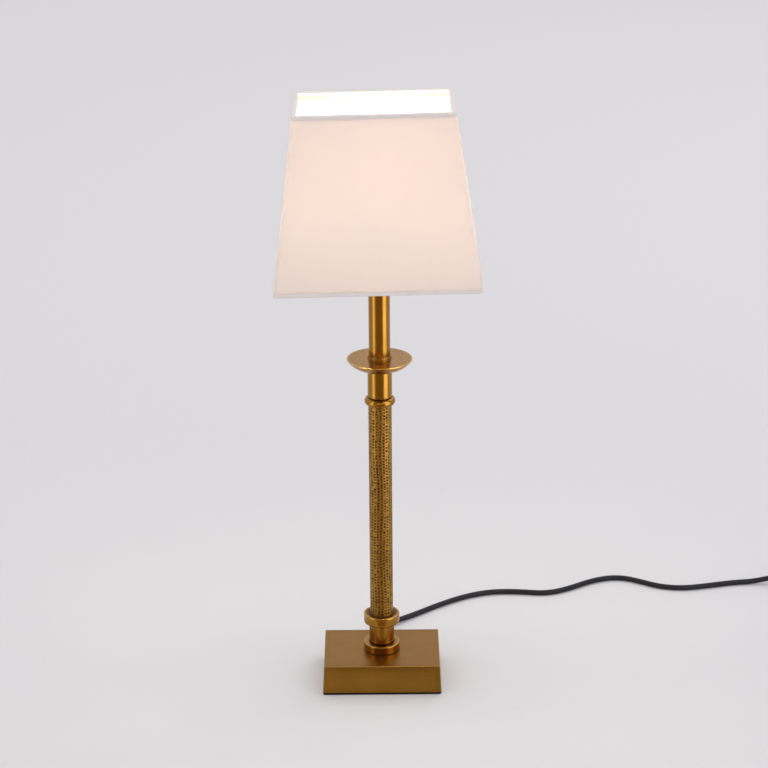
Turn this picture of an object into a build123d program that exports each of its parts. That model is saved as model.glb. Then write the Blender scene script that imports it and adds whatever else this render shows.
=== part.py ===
from build123d import *
import os
from math import ceil, cos, dist, pi, radians, sin, sqrt, tan

# A table lamp shaped as a brass candlestick, with a tapered rectangular fabric shade, a bulb in a
# screw lampholder, and a black lead with an in-line switch and a flat two-pin plug.
# Millimetres. The origin is the centre of the underside, +Z is up the stem, and the lead leaves
# the back of the base towards +Y.

# ------------------------------------------------------------------------------- clearances
slip_gap = 0.15  # a spigot in its tube or a plate in its recess, on each side
moving_gap = 0.3  # between pieces that turn on each other
pivot_gap = 0.05  # a pin in its bearing, on each side
seat_gap = 0.2  # under a piece that turns on a flat seat
screw_hole_extra = 0.5  # how much deeper a hole is than the screw in it
over = 1.0  # how far a cutting solid runs past the faces that it cuts

# ------------------------------------------------------------------------------------- base
foot_thickness = 2.4
foot_inset = 0.4
base_width = 116.8  # across the top face
base_depth = 85.0
base_height = 28.6
base_flare = 1.45  # how much further each side reaches at the bottom
base_wall = 2.5
base_edge_radius = 0.8
plate_thickness = 0.8
post_radius = 3.5
post_inset = 10.5  # from the outer sides of the base's top to the centre of each screw post
plate_screw_radius = 1.4
plate_screw_length = 9.0
plate_screw_head_radius = 2.7
weight_height = 14.0
weight_gap = 2.0  # to the walls all round
weight_well_radius = 18.0
weight_pocket_gap = 1.0  # round the strain relief's inner flange
weight_pocket_depth_gap = 1.5  # before that flange

# ------------------------------------------------------------------- threaded rod and its nut
rod_radius = 5.0
rod_bore_radius = 3.6
rod_clearance = 0.3
rod_below_nut = 2.0
rod_into_holder = 9.0
washer_radius = 13.0
washer_thickness = 2.0
nut_flats = 14.0
nut_height = 5.0

# ------------------------------------------------------------------------------- candlestick
tube_wall = 2.0
spigot_height = 2.5
foot_ring_radius = 18.2
foot_ring_height = 8.7
foot_ring_edge = 0.8
neck_radius = 12.6
neck_length = 21.4
neck_groove_depth = 0.7
neck_groove_height = 1.3
collar_radius = 18.0
collar_height = 10.3
collar_edge = 1.2
column_radius = 11.6
column_length = 225.6
bead_radius = 15.25
bead_height = 8.0
bead_face_radius = 12.3  # of its flat top and bottom
bead_groove_depth = 0.6  # shadow line between the bead and the tube above it
bead_groove_height = 0.9
drip_tube_radius = 12.0
drip_tube_length = 28.9
pan_radius = 32.0
pan_depth = 11.1
pan_rim_height = 0.9
pan_rim_edge = 0.35
pan_foot_overhang = 0.2  # of the bowl over the tube under it
pan_bulge_out = 0.77  # the bowl's arc passes this share of the pan's radius
pan_bulge_up = 0.32  # at this share of its depth, so it is nearly upright under the rim
pan_boss_radius = 11.45
pan_boss_height = 3.3
candle_radius = 10.5
candle_length = 106.7  # the shade hides its upper end
candle_wall = 1.6
candle_cap_height = 3.0
candle_cap_edge = 0.6

# ------------------------------------------------------------------------------- lampholder
holder_base_height = 18.0
holder_base_radius = 13.6
holder_base_waist = 11.6  # radius where it stands on the candle tube's cap
holder_floor = 9.0
holder_ledge_height = 4.0
holder_ledge_radius = 8.0
holder_wall = 2.0
holder_flange_radius = 17.0
holder_flange_height = 2.0
holder_thread_radius = 14.0
holder_skirt_height = 28.0
holder_skirt_wall = 2.6
insert_height = 15.0
screw_shell_radius = 7.9
screw_shell_wall = 0.4
screw_shell_height = 18.0
tongue_length = 8.0
tongue_width = 3.0
tongue_thickness = 0.5
tongue_tip_radius = 1.5
tongue_tip_height = 1.0
terminal_screw_spread = 5.0
terminal_screw_radius = 1.5
terminal_screw_length = 6.0
terminal_head_radius = 2.2
terminal_head_height = 1.5
wire_radius = 1.1
wire_spread = 1.5
wire_bend_radius = 6.5

# --------------------------------------------------------------------------- ring that locks the shade
lock_ring_flange_radius = 18.4
lock_ring_flange_height = 2.2
lock_ring_radius = 16.6
lock_ring_height = 8.0
lock_ring_grips = 16
lock_ring_grip_radius = 0.7

# ------------------------------------------------------------------------------------- bulb
bulb_contact_radius = 2.4
bulb_contact_height = 0.8
bulb_bead_height = 2.4
bulb_bead_radius = 3.6
bulb_cap_radius = 6.95
bulb_cap_wall = 0.4
bulb_cap_height = 22.0
glass_wall = 0.8
glass_gap = 0.1  # between the screw cap and the glass, and the glass and its stem
glass_neck_depth = 5.0  # how far the glass reaches into the screw cap
ball_radius = 22.5
ball_above_cap = 28.0  # from the cap's rim to the centre of the ball
ball_joint_drop = 17.0  # from the centre of the ball down to where the neck joins it
stem_radius = 2.0
stem_foot_height = 2.0
stem_plate_radius = 7.2
stem_plate_thickness = 0.8
filament_count = 4
filament_radius = 0.8
filament_length = 24.0
filament_circle = 6.0
filament_lift = 1.0  # of the filaments' middle above the centre of the ball

# ------------------------------------------------------------------------------------ shade
shade_bottom_width = 198.0
shade_bottom_depth = 138.0
shade_top_width = 153.0
shade_top_depth = 99.0
shade_height = 169.0
shade_corner = 4.5
shade_least_corner = 0.6  # inside the innermost layer
shade_drop = 46.5  # from the fitter ring's seat down to the shade's bottom edge
shade_lean = 1.0  # degrees: the shade hangs a little off level, its right side high
shade_shift = -1.5  # its fitter ring is welded in this far off the shade's middle
fabric_thickness = 0.6
liner_thickness = 0.8
trim_height = 4.2
trim_thickness = 0.5
trim_gap = 0.05
frame_wire_radius = 1.4
fitter_ring_radius = 20.5
fitter_ring_thickness = 2.0
arm_radius = 1.2
arm_root = 19.6  # radius at which the arms are welded into the ring

# ---------------------------------------------------------------------------- lead and relief
cord_radius = 2.9
cord_exit_height = 10.0
cord_bore_gap = 0.1
relief_length = 28.0
relief_flange_radius = 6.5
relief_flange_thickness = 2.0
relief_neck_radius = 4.4
relief_root_radius = 5.4
relief_tip_radius = 3.9
sheath_end = 22.0  # where the outer sheath is stripped back, from the axis of the stem
channel_half_width = 4.2
channel_gap = 0.5  # under the lead
clamp_length = 8.0
clamp_width = 26.0
clamp_thickness = 3.0
clamp_from_wall = 7.0  # from the base's rear wall to the middle of the clamp
clamp_screw_spread = 9.0
clamp_screw_radius = 1.4
clamp_screw_length = 9.0
clamp_head_radius = 2.6
clamp_head_height = 1.8

# The lead's route on the floor, from the strain relief to the in-line switch. Its points are
# placed by hand; the height of those that lie on the floor is the lead's own radius.
lay = cord_radius
relief_end = base_depth / 2 + base_flare + relief_flange_thickness + relief_length
cord_route = [
    (0, relief_end, cord_exit_height),
    (0, 92, cord_exit_height),
    (8, 111, 5.6),
    (30, 131.5, lay),
    (62, 160, lay),
    (91, 181, lay),
    (120, 192.5, lay),
    (150, 192, lay),
    (180, 186.5, lay),
    (204, 197.5, lay),
    (230, 217, lay),
    (251, 226, lay),
    (269, 225.5, lay),
    (287, 215, lay),
    (306, 202, lay),
    (331, 197, lay),
    (360, 203.5, lay),
    (388, 211, lay),
    (411, 213.5, lay),
    (431, 212.5, 8.0),
    (447, 212.5, 8.0),
]

# --------------------------------------------------------------------------- in-line switch
switch_length = 58.0
switch_width = 26.0
switch_parting = cord_route[-1][2]  # the halves part at the lead's axis
switch_height = 17.0
switch_corner = 8.0
switch_wall = 2.0
switch_edge = 1.6
nozzle_length = 8.0
nozzle_radius = 4.8
rocker_length = 19.6
rocker_width = 9.0
rocker_end_height = 5.6  # of its two raised ends, above the pivot
rocker_dip_height = 3.8  # of the dip between them
rocker_lip_height = 2.6  # of its ends' lower edges
rocker_keel_depth = 2.2
rocker_keel_half_length = 3.0
rocker_slot_gap = 0.4
rocker_slot_length = 22.6
rocker_tilt = 11.0  # each way from level
pivot_below_top = 3.5
pivot_radius = 1.4
ear_thickness = 2.0
ear_length = 8.0
ear_drop = 3.0  # below the pivot
switch_screw_x = 22.0
switch_screw_y = 6.0
switch_screw_radius = 1.25
switch_screw_length = 11.0
switch_post_wall = 1.6
switch_head_radius = 2.2
switch_head_height = 1.5
contact_length = 12.0
contact_width = 3.0
contact_height = 4.5
contact_strip = 0.6
contact_post = 1.2
contact_gap_half = 1.5  # from the switch's middle to each strip
contact_side = 7.5  # from the switch's axis to the strips
sheath_in_switch = 3.0  # how far the sheath reaches past each nozzle

# --------------------------------------------------- the coil of the rest of the lead, and plug
coil_middle_radius = 34.0
coil_turns = 5.5
coil_gap = 0.6  # between turns that lie side by side or on each other
coil_lead_in = 24.0  # length over which the lead rises or sinks to the coil's layers
coil_clear_of_switch = 38.0
tie_thickness = 0.7
tie_width = 7.0
tie_gap = 0.2
tie_corner = 3.4
plug_width = 35.3
plug_body_length = 36.0
plug_thickness = 13.7
plug_nose_width = 27.0
plug_edge = 1.5
plug_shoulder_length = 15.1  # from the strain relief's root to the widest place
plug_waist_margin = 1.6
plug_relief_length = 24.0
plug_relief_root = 4.9
plug_relief_tip = 3.7
pin_radius = 2.0
pin_length = 19.0
pin_spread = 18.6
pin_tip_edge = 0.9

# --------------------------------------------------------------------- heights up the stem
base_bottom = foot_thickness
base_top = base_bottom + base_height
foot_ring_top = base_top + foot_ring_height
neck_top = foot_ring_top + neck_length
collar_top = neck_top + collar_height
column_top = collar_top + column_length
bead_top = column_top + bead_height
drip_tube_top = bead_top + drip_tube_length
pan_rim = drip_tube_top + pan_depth
pan_boss_top = pan_rim + pan_boss_height
candle_top = pan_boss_top + candle_length
holder_bottom = candle_top + candle_cap_height
holder_base_top = holder_bottom + holder_base_height
flange_top = holder_base_top + holder_flange_height
skirt_top = flange_top + holder_skirt_height
rod_top = holder_bottom + rod_into_holder
washer_bottom = base_top - base_wall - washer_thickness
nut_bottom = washer_bottom - nut_height
rod_bottom = nut_bottom - rod_below_nut
plate_top = base_bottom + plate_thickness
insert_bottom = holder_bottom + holder_floor + holder_ledge_height
insert_top = insert_bottom + insert_height
fitter_bottom = flange_top + seat_gap
fitter_top = fitter_bottom + fitter_ring_thickness
lock_ring_bottom = fitter_top + moving_gap
contact_bottom = insert_top + tongue_thickness + tongue_tip_height + moving_gap
bulb_cap_bottom = contact_bottom + bulb_contact_height + bulb_bead_height
bulb_cap_top = bulb_cap_bottom + bulb_cap_height
ball_centre = bulb_cap_top + ball_above_cap
shade_bottom = fitter_bottom - shade_drop
shade_top = shade_bottom + shade_height
rod_hole_radius = rod_radius + rod_clearance
clamp_place = base_depth / 2 - base_wall - clamp_from_wall


# ------------------------------------------------------------------------------- building blocks
def disc(radius, low, high, x=0.0, y=0.0):
    """An upright cylinder between two heights."""
    rest = (Align.CENTER, Align.CENTER, Align.MIN)
    return Pos(x, y, low) * Cylinder(radius, high - low, align=rest)


def ring(outer, inner, low, high, x=0.0, y=0.0):
    """An upright tube between two heights."""
    return disc(outer, low, high, x, y) - disc(inner, low - over, high + over, x, y)


def cone(low_radius, high_radius, low, high):
    """An upright cone frustum between two heights."""
    rest = (Align.CENTER, Align.CENTER, Align.MIN)
    return Pos(0, 0, low) * Cone(low_radius, high_radius, high - low, align=rest)


def block(width, depth, low, high, x=0.0, y=0.0):
    """A box between two heights."""
    rest = (Align.CENTER, Align.CENTER, Align.MIN)
    return Pos(x, y, low) * Box(width, depth, high - low, align=rest)


def rod(start, end, radius):
    """A round bar from one point to another."""
    start, end = Vector(*start), Vector(*end)
    return Solid.make_cylinder(radius, (end - start).length, Plane(start, z_dir=end - start))


def turned(*outline):
    """A piece turned about the stem's axis from a closed outline of curves in the XZ plane."""
    return revolve(make_face(outline), Axis.Z)


def at(radius, height):
    """A point of a turned outline."""
    return (radius, 0, height)


def rounded(piece, outer, amount):
    """The piece with the edges of its outer round wall rounded."""
    edges = [e for e in piece.edges().filter_by(GeomType.CIRCLE) if abs(e.radius - outer) < 1e-4]
    return fillet(edges, amount)


def tube_along(path, radius):
    """A round bar swept along a path."""
    return sweep(Plane(path @ 0, z_dir=path % 0) * Circle(radius), path=path)


def spigot_pair(tube_radius, wall, face, up):
    """A short plug that centres a tube on the turned piece next to it, above or below a face."""
    radius = tube_radius - wall - slip_gap
    low, high = (face, face + spigot_height) if up else (face - spigot_height, face)
    return ring(radius, rod_hole_radius, low, high)


# ------------------------------------------------------------------------------------- base
def base_block(low, high, inset):
    """The base's tapered outline between two heights, drawn in on every side by an inset."""

    def outline(height):
        reach = base_flare * (base_top - height) / base_height - inset
        return Pos(0, 0, height) * Rectangle(base_width + 2 * reach, base_depth + 2 * reach)

    return loft([outline(low), outline(high)], ruled=True)


def corner_posts():
    x, y = base_width / 2 - post_inset, base_depth / 2 - post_inset
    return [(i * x, j * y) for i in (-1, 1) for j in (-1, 1)]


def base_shell():
    shell = base_block(base_bottom, base_top, 0)
    sharp = [e for e in shell.edges() if e.center().Z > base_bottom + over]
    shell = fillet(sharp, base_edge_radius)
    shell -= base_block(base_bottom - over, base_top - base_wall, base_wall)
    for x, y in corner_posts():
        shell += disc(post_radius, plate_top, base_top - base_wall / 2, x, y)
        bore = plate_screw_radius + pivot_gap
        shell -= disc(bore, plate_top - over, plate_top + plate_screw_length, x, y)
    shell -= disc(rod_hole_radius, base_top - base_wall - over, base_top + over)
    inside = base_depth / 2 - base_wall - over
    outside = base_depth / 2 + base_flare + over
    hole = rod((0, inside, cord_exit_height), (0, outside, cord_exit_height), relief_neck_radius)
    return shell - hole


def bottom_plate():
    plate = base_block(base_bottom, plate_top, base_wall + slip_gap)
    hole = cone(plate_screw_head_radius + slip_gap, plate_screw_radius + slip_gap, base_bottom, plate_top)
    for x, y in corner_posts():
        plate -= Pos(x, y, 0) * hole
    return plate


def plate_screws():
    screws = []
    for x, y in corner_posts():
        head = cone(plate_screw_head_radius, plate_screw_radius, base_bottom, plate_top)
        shank = disc(plate_screw_radius, plate_top, base_bottom + plate_screw_length)
        screws.append(Pos(x, y, 0) * (head + shank))
    return screws


def foot_pad():
    return base_block(0, foot_thickness, foot_inset)


def weight_top():
    return plate_top + weight_height


def base_weight():
    width = base_width - 2 * (base_wall + weight_gap)
    depth = base_depth - 2 * (base_wall + weight_gap)
    weight = block(width, depth, plate_top, weight_top())
    weight -= disc(weight_well_radius, plate_top - over, weight_top() + over)
    low = cord_exit_height - cord_radius - channel_gap
    weight -= block(2 * channel_half_width, depth, low, weight_top() + over, 0, depth / 2)
    for x, y in corner_posts():
        weight -= disc(post_radius + weight_gap / 2, plate_top - over, weight_top() + over, x, y)
    for side in (-1, 1):
        x = side * clamp_screw_spread
        bore = clamp_screw_radius + pivot_gap
        depth_of_bore = clamp_screw_length - clamp_thickness + screw_hole_extra
        weight -= disc(bore, weight_top() - depth_of_bore, weight_top() + over, x, clamp_place)
    half = relief_flange_radius + weight_pocket_gap
    pocket = base_depth / 2 - base_wall - relief_flange_thickness - weight_pocket_depth_gap
    weight -= block(2 * half, depth, plate_top - over, weight_top() + over, 0, pocket + depth / 2)
    return weight


def stem_rod():
    return ring(rod_radius, rod_bore_radius, rod_bottom, rod_top)


def rod_washer():
    return ring(washer_radius, rod_hole_radius, washer_bottom, base_top - base_wall)


def rod_nut():
    hexagon = Pos(0, 0, nut_bottom) * RegularPolygon(nut_flats / 2, 6, major_radius=False)
    return extrude(hexagon, nut_height) - disc(rod_radius, nut_bottom - over, washer_bottom + over)


# ------------------------------------------------------------------------------- candlestick
def foot_ring():
    body = rounded(ring(foot_ring_radius, rod_hole_radius, base_top, foot_ring_top), foot_ring_radius,
                   foot_ring_edge)
    return body + spigot_pair(neck_radius, tube_wall, foot_ring_top, True)


def neck():
    tube = ring(neck_radius, neck_radius - tube_wall, foot_ring_top, neck_top)
    groove_top = foot_ring_top + neck_groove_height
    return tube - ring(neck_radius + over, neck_radius - neck_groove_depth, foot_ring_top - over, groove_top)


def collar():
    body = rounded(ring(collar_radius, rod_hole_radius, neck_top, collar_top), collar_radius, collar_edge)
    body += spigot_pair(neck_radius, tube_wall, neck_top, False)
    return body + spigot_pair(column_radius, tube_wall, collar_top, True)


def column():
    return ring(column_radius, column_radius - tube_wall, collar_top, column_top)


def bead():
    middle = (column_top + bead_top) / 2
    body = turned(
        Line(at(rod_hole_radius, column_top), at(bead_face_radius, column_top)),
        ThreePointArc(at(bead_face_radius, column_top), at(bead_radius, middle), at(bead_face_radius, bead_top)),
        Line(at(bead_face_radius, bead_top), at(rod_hole_radius, bead_top)),
        Line(at(rod_hole_radius, bead_top), at(rod_hole_radius, column_top)),
    )
    body += spigot_pair(column_radius, tube_wall, column_top, False)
    return body + spigot_pair(drip_tube_radius, tube_wall, bead_top, True)


def drip_tube():
    tube = ring(drip_tube_radius, drip_tube_radius - tube_wall, bead_top, drip_tube_top)
    groove_top = bead_top + bead_groove_height
    return tube - ring(drip_tube_radius + over, drip_tube_radius - bead_groove_depth, bead_top - over, groove_top)


def drip_pan():
    rim_low = pan_rim - pan_rim_height
    bowl_foot = drip_tube_radius + pan_foot_overhang
    bowl_middle = at(pan_radius * pan_bulge_out, drip_tube_top + pan_depth * pan_bulge_up)
    body = turned(
        Line(at(rod_hole_radius, drip_tube_top), at(bowl_foot, drip_tube_top)),
        ThreePointArc(at(bowl_foot, drip_tube_top), bowl_middle, at(pan_radius, rim_low)),
        Line(at(pan_radius, rim_low), at(pan_radius, pan_rim)),
        Line(at(pan_radius, pan_rim), at(pan_boss_radius, pan_rim)),
        Line(at(pan_boss_radius, pan_rim), at(pan_boss_radius, pan_boss_top)),
        Line(at(pan_boss_radius, pan_boss_top), at(rod_hole_radius, pan_boss_top)),
        Line(at(rod_hole_radius, pan_boss_top), at(rod_hole_radius, drip_tube_top)),
    )
    top_edges = [
        e
        for e in body.edges().filter_by(GeomType.CIRCLE)
        if abs(e.radius - pan_radius) < 1e-4 and abs(e.center().Z - pan_rim) < 1e-4
        or abs(e.radius - pan_boss_radius) < 1e-4 and abs(e.center().Z - pan_boss_top) < 1e-4
    ]
    body = fillet(top_edges, pan_rim_edge)
    body += spigot_pair(drip_tube_radius, tube_wall, drip_tube_top, False)
    return body + spigot_pair(candle_radius, candle_wall, pan_boss_top, True)


def candle_tube():
    return ring(candle_radius, candle_radius - candle_wall, pan_boss_top, candle_top)


def candle_cap():
    body = ring(candle_radius, rod_hole_radius, candle_top, holder_bottom)
    body = rounded(body, candle_radius, candle_cap_edge)
    return body + spigot_pair(candle_radius, candle_wall, candle_top, False)


# ------------------------------------------------------------------------------- lampholder
def holder_base():
    """The cup that screws on the rod and carries the insert on a ledge."""
    waist_top = holder_bottom + holder_floor
    body = cone(holder_base_waist, holder_base_radius, holder_bottom, waist_top)
    body += disc(holder_base_radius, waist_top, holder_base_top)
    body -= disc(rod_radius, holder_bottom - over, rod_top + over)
    body -= disc(holder_ledge_radius, rod_top, insert_bottom + over)
    return body - disc(holder_base_radius - holder_wall, insert_bottom, holder_base_top + over)


def holder_skirt():
    """The threaded skirt round the screw shell, with the flange that the shade's ring rests on."""
    body = disc(holder_flange_radius, holder_base_top, flange_top)
    body += disc(holder_thread_radius, flange_top, skirt_top)
    return body - disc(holder_thread_radius - holder_skirt_wall, holder_base_top - over, skirt_top + over)


def insert_radius():
    return min(holder_base_radius - holder_wall, holder_thread_radius - holder_skirt_wall) - slip_gap


def terminal_spots():
    return [(side * terminal_screw_spread, 0) for side in (-1, 1)]


def holder_insert():
    body = disc(insert_radius(), insert_bottom, insert_top)
    for x, y in terminal_spots():
        top = insert_bottom + terminal_screw_length + screw_hole_extra
        body -= disc(terminal_screw_radius + pivot_gap, insert_bottom - over, top, x, y)
    return body


def terminal_screws():
    screws = []
    for x, y in terminal_spots():
        head = disc(terminal_head_radius, insert_bottom - terminal_head_height, insert_bottom, x, y)
        shank = disc(terminal_screw_radius, insert_bottom, insert_bottom + terminal_screw_length, x, y)
        screws.append(head + shank)
    return screws


def screw_shell():
    inner = screw_shell_radius - screw_shell_wall
    return ring(screw_shell_radius, inner, insert_top, insert_top + screw_shell_height)


def centre_tongue():
    strip_top = insert_top + tongue_thickness
    strip = block(tongue_length, tongue_width, insert_top, strip_top, tongue_tip_radius)
    return strip + disc(tongue_tip_radius, strip_top, strip_top + tongue_tip_height)


# ------------------------------------------------------------- ring that locks the shade down
def lock_ring():
    flange_top_height = lock_ring_bottom + lock_ring_flange_height
    top = lock_ring_bottom + lock_ring_height
    body = disc(lock_ring_flange_radius, lock_ring_bottom, flange_top_height)
    body += disc(lock_ring_radius, flange_top_height, top)
    for k in range(lock_ring_grips):
        turn = 2 * pi * k / lock_ring_grips
        x, y = lock_ring_radius * cos(turn), lock_ring_radius * sin(turn)
        body += disc(lock_ring_grip_radius, flange_top_height, top, x, y)
    return body - disc(holder_thread_radius + moving_gap, lock_ring_bottom - over, top + over)


# ------------------------------------------------------------------------------------- bulb
def bulb_contact():
    return disc(bulb_contact_radius, contact_bottom, contact_bottom + bulb_contact_height)


def bulb_bead():
    """The insulating bead between the centre contact and the screw cap."""
    return cone(bulb_bead_radius, bulb_cap_radius, contact_bottom + bulb_contact_height, bulb_cap_bottom)


def bulb_cap():
    return ring(bulb_cap_radius, bulb_cap_radius - bulb_cap_wall, bulb_cap_bottom, bulb_cap_top)


def glass_outline(inset):
    """Half of the bulb's outline, from its open neck up to the top of the ball."""
    neck_radius_here = bulb_cap_radius - bulb_cap_wall - glass_gap - inset
    radius = ball_radius - inset
    low = bulb_cap_top - glass_neck_depth
    joint_height = ball_centre - ball_joint_drop
    joint_radius = sqrt(radius**2 - ball_joint_drop**2)
    slope = Vector(ball_joint_drop, 0, joint_radius)
    half = radius * sqrt(0.5)
    return [
        Line(at(neck_radius_here, low), at(neck_radius_here, bulb_cap_top)),
        Spline(
            [at(neck_radius_here, bulb_cap_top), at(joint_radius, joint_height)],
            tangents=[Vector(0, 0, 1), slope],
        ),
        ThreePointArc(at(joint_radius, joint_height), at(radius, ball_centre), at(half, ball_centre + half)),
        ThreePointArc(
            at(half, ball_centre + half),
            at(radius * sin(pi / 8), ball_centre + radius * cos(pi / 8)),
            at(0, ball_centre + radius),
        ),
    ], low


def bulb_glass():
    solids = []
    for inset in (0, glass_wall):
        outline, low = glass_outline(inset)
        top = outline[-1] @ 1
        neck_start = outline[0] @ 0
        solids.append(
            turned(*outline, Line(top, at(0, low)), Line(at(0, low), neck_start)),
        )
    return solids[0] - solids[1]


def filament_low():
    return ball_centre - filament_length / 2 + filament_lift


def bulb_stem():
    """The glass stem that closes the neck, with the two plates that hold the filaments."""
    low = bulb_cap_top - glass_neck_depth
    foot_radius = bulb_cap_radius - bulb_cap_wall - glass_wall - 2 * glass_gap
    top = filament_low() + filament_length
    stem = disc(foot_radius, low, low + stem_foot_height) + disc(stem_radius, low, top + stem_plate_thickness)
    stem += disc(stem_plate_radius, filament_low() - stem_plate_thickness, filament_low())
    return stem + disc(stem_plate_radius, top, top + stem_plate_thickness)


def bulb_filaments():
    low = filament_low()
    spots = [2 * pi * (k + 0.5) / filament_count for k in range(filament_count)]
    return [
        disc(filament_radius, low, low + filament_length, filament_circle * cos(a), filament_circle * sin(a))
        for a in spots
    ]


# ------------------------------------------------------------------------------------ shade
def leaning(piece):
    """The piece turned about the fitter ring's centre as the shade hangs, and moved off its middle."""
    return Pos(shade_shift, 0, fitter_bottom) * Rot(0, -shade_lean, 0) * Pos(0, 0, -fitter_bottom) * piece


def shade_outline(height, grow):
    """The shade's outer outline at a height, larger all round by an offset."""
    share = (height - shade_bottom) / shade_height
    width = shade_bottom_width + (shade_top_width - shade_bottom_width) * share + 2 * grow
    depth = shade_bottom_depth + (shade_top_depth - shade_bottom_depth) * share + 2 * grow
    return Pos(0, 0, height) * RectangleRounded(width, depth, max(shade_corner + grow, shade_least_corner))


def shade_block(low, high, grow):
    return loft([shade_outline(low, grow), shade_outline(high, grow)], ruled=True)


def shade_wall(outer, inner):
    body = shade_block(shade_bottom, shade_top, outer)
    return leaning(body - shade_block(shade_bottom - over, shade_top + over, inner))


wire_offset = -(fabric_thickness + liner_thickness + trim_gap + frame_wire_radius)
bottom_wire_height = shade_bottom + frame_wire_radius + trim_gap
top_wire_height = shade_top - frame_wire_radius - trim_gap


def shade_wire(height):
    outline = shade_outline(height, wire_offset).wires()[0]
    return tube_along(leaning(outline), frame_wire_radius)


def arm_ends():
    """Where each arm leaves the ring and where it is welded to the bottom wire."""
    share = (bottom_wire_height - shade_bottom) / shade_height
    half_width = shade_bottom_width / 2 + (shade_top_width - shade_bottom_width) / 2 * share + wire_offset
    half_depth = shade_bottom_depth / 2 + (shade_top_depth - shade_bottom_depth) / 2 * share + wire_offset
    middle = (fitter_bottom + fitter_top) / 2
    drop = bottom_wire_height - fitter_bottom
    ends = []
    for x, y in ((1, 0), (0, 1), (-1, 0), (0, -1)):
        outer_x, outer_y = x * half_width, y * half_depth
        lean = radians(shade_lean)
        outer = (
            shade_shift + outer_x * cos(lean) - drop * sin(lean),
            outer_y,
            fitter_bottom + outer_x * sin(lean) + drop * cos(lean),
        )
        ends.append(((x * arm_root, y * arm_root, middle), outer))
    return ends


def shade_frame():
    """The fitter ring, its four arms and the bottom wire, welded into one piece."""
    inner = holder_thread_radius + 2 * moving_gap
    frame = shade_wire(bottom_wire_height) + ring(fitter_ring_radius, inner, fitter_bottom, fitter_top)
    for start, end in arm_ends():
        frame += rod(start, end, arm_radius)
    return frame


def shade_trim(edge, inward):
    """The rolled edge that wraps the fabric, the liner and the wire at the top or bottom."""
    deep = wire_offset - frame_wire_radius - trim_gap
    open_end = edge + inward * trim_height
    shut_end = edge - inward * trim_thickness
    pocket_end = edge - inward * trim_gap

    def between(a, b, grow):
        return shade_block(min(a, b), max(a, b), grow)

    trim = between(open_end, shut_end, trim_thickness + trim_gap)
    trim -= between(open_end + inward, shut_end - inward, deep - trim_thickness)
    trim -= between(open_end + inward, pocket_end, trim_gap) - between(open_end + inward, pocket_end, deep)
    trim = leaning(trim)
    if inward > 0:
        for start, end in arm_ends():
            trim -= rod(start, end, arm_radius + slip_gap)
    return trim


# ------------------------------------------------------------------------- lead in the base
def cord_relief():
    """A rubber boot in the base's rear wall, tapering along the lead."""
    outside = base_depth / 2 + base_flare
    inside = base_depth / 2 - base_wall
    flange = relief_flange_thickness

    def along(start, end, radius):
        return rod((0, start, cord_exit_height), (0, end, cord_exit_height), radius)

    relief = along(inside - flange, inside, relief_flange_radius)
    relief += along(inside, outside, relief_neck_radius)
    relief += along(outside, outside + flange, relief_flange_radius)
    taper = Plane((0, outside + flange, cord_exit_height), z_dir=(0, 1, 0))
    relief += Solid.make_cone(relief_root_radius, relief_tip_radius, relief_length, taper)
    return relief - along(inside - flange - over, relief_end + over, cord_radius + cord_bore_gap)


def cord_inside():
    return rod((0, sheath_end, cord_exit_height), (0, relief_end, cord_exit_height), cord_radius)


def cord_clamp():
    """A saddle screwed on the weight, whose tongue holds the lead down in its channel."""
    top = weight_top()
    saddle = block(clamp_width, clamp_length, top, top + clamp_thickness, 0, clamp_place)
    tongue_low = cord_exit_height + cord_radius + cord_bore_gap
    saddle += block(2 * (channel_half_width - moving_gap), clamp_length, tongue_low, top, 0, clamp_place)
    for side in (-1, 1):
        x = side * clamp_screw_spread
        saddle -= disc(clamp_screw_radius + slip_gap, top - over, top + clamp_thickness + over, x, clamp_place)
    return saddle


def clamp_screws():
    top = weight_top() + clamp_thickness
    screws = []
    for side in (-1, 1):
        x = side * clamp_screw_spread
        head = disc(clamp_head_radius, top, top + clamp_head_height, x, clamp_place)
        screws.append(head + disc(clamp_screw_radius, top - clamp_screw_length, top, x, clamp_place))
    return screws


def lamp_wires():
    """The lead's two cores, from the end of the sheath up the rod to the lampholder's insert."""
    wires = []
    for side in (-1, 1):
        x = side * wire_spread
        path = FilletPolyline(
            (x, sheath_end, cord_exit_height),
            (x, 0, cord_exit_height),
            (x, 0, insert_bottom),
            radius=wire_bend_radius,
        )
        wires.append(tube_along(path, wire_radius))
    return wires


# ---------------------------------------------------------------------------- lead outside
def corner_radii(route):
    """As large a radius at each corner as its two runs allow."""
    radii = []
    for before, corner, after in zip(route, route[1:], route[2:]):
        first, second = Vector(*corner) - Vector(*before), Vector(*after) - Vector(*corner)
        half_turn = radians(first.get_angle(second)) / 2
        radii.append(0.45 * min(first.length, second.length) / tan(half_turn))
    return radii


def cord_free():
    radii = corner_radii(cord_route)
    path = FilletPolyline(*cord_route, radius=radii)
    tube = tube_along(path, cord_radius)
    print("lead: least corner radius", round(min(radii), 1), "mm, length", round(path.length, 1), "mm")
    print("lead: corner radii", [round(r, 1) for r in radii])
    print("lead: volume over section times length", round(tube.volume / (pi * cord_radius**2 * path.length), 5))
    return tube


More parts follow.
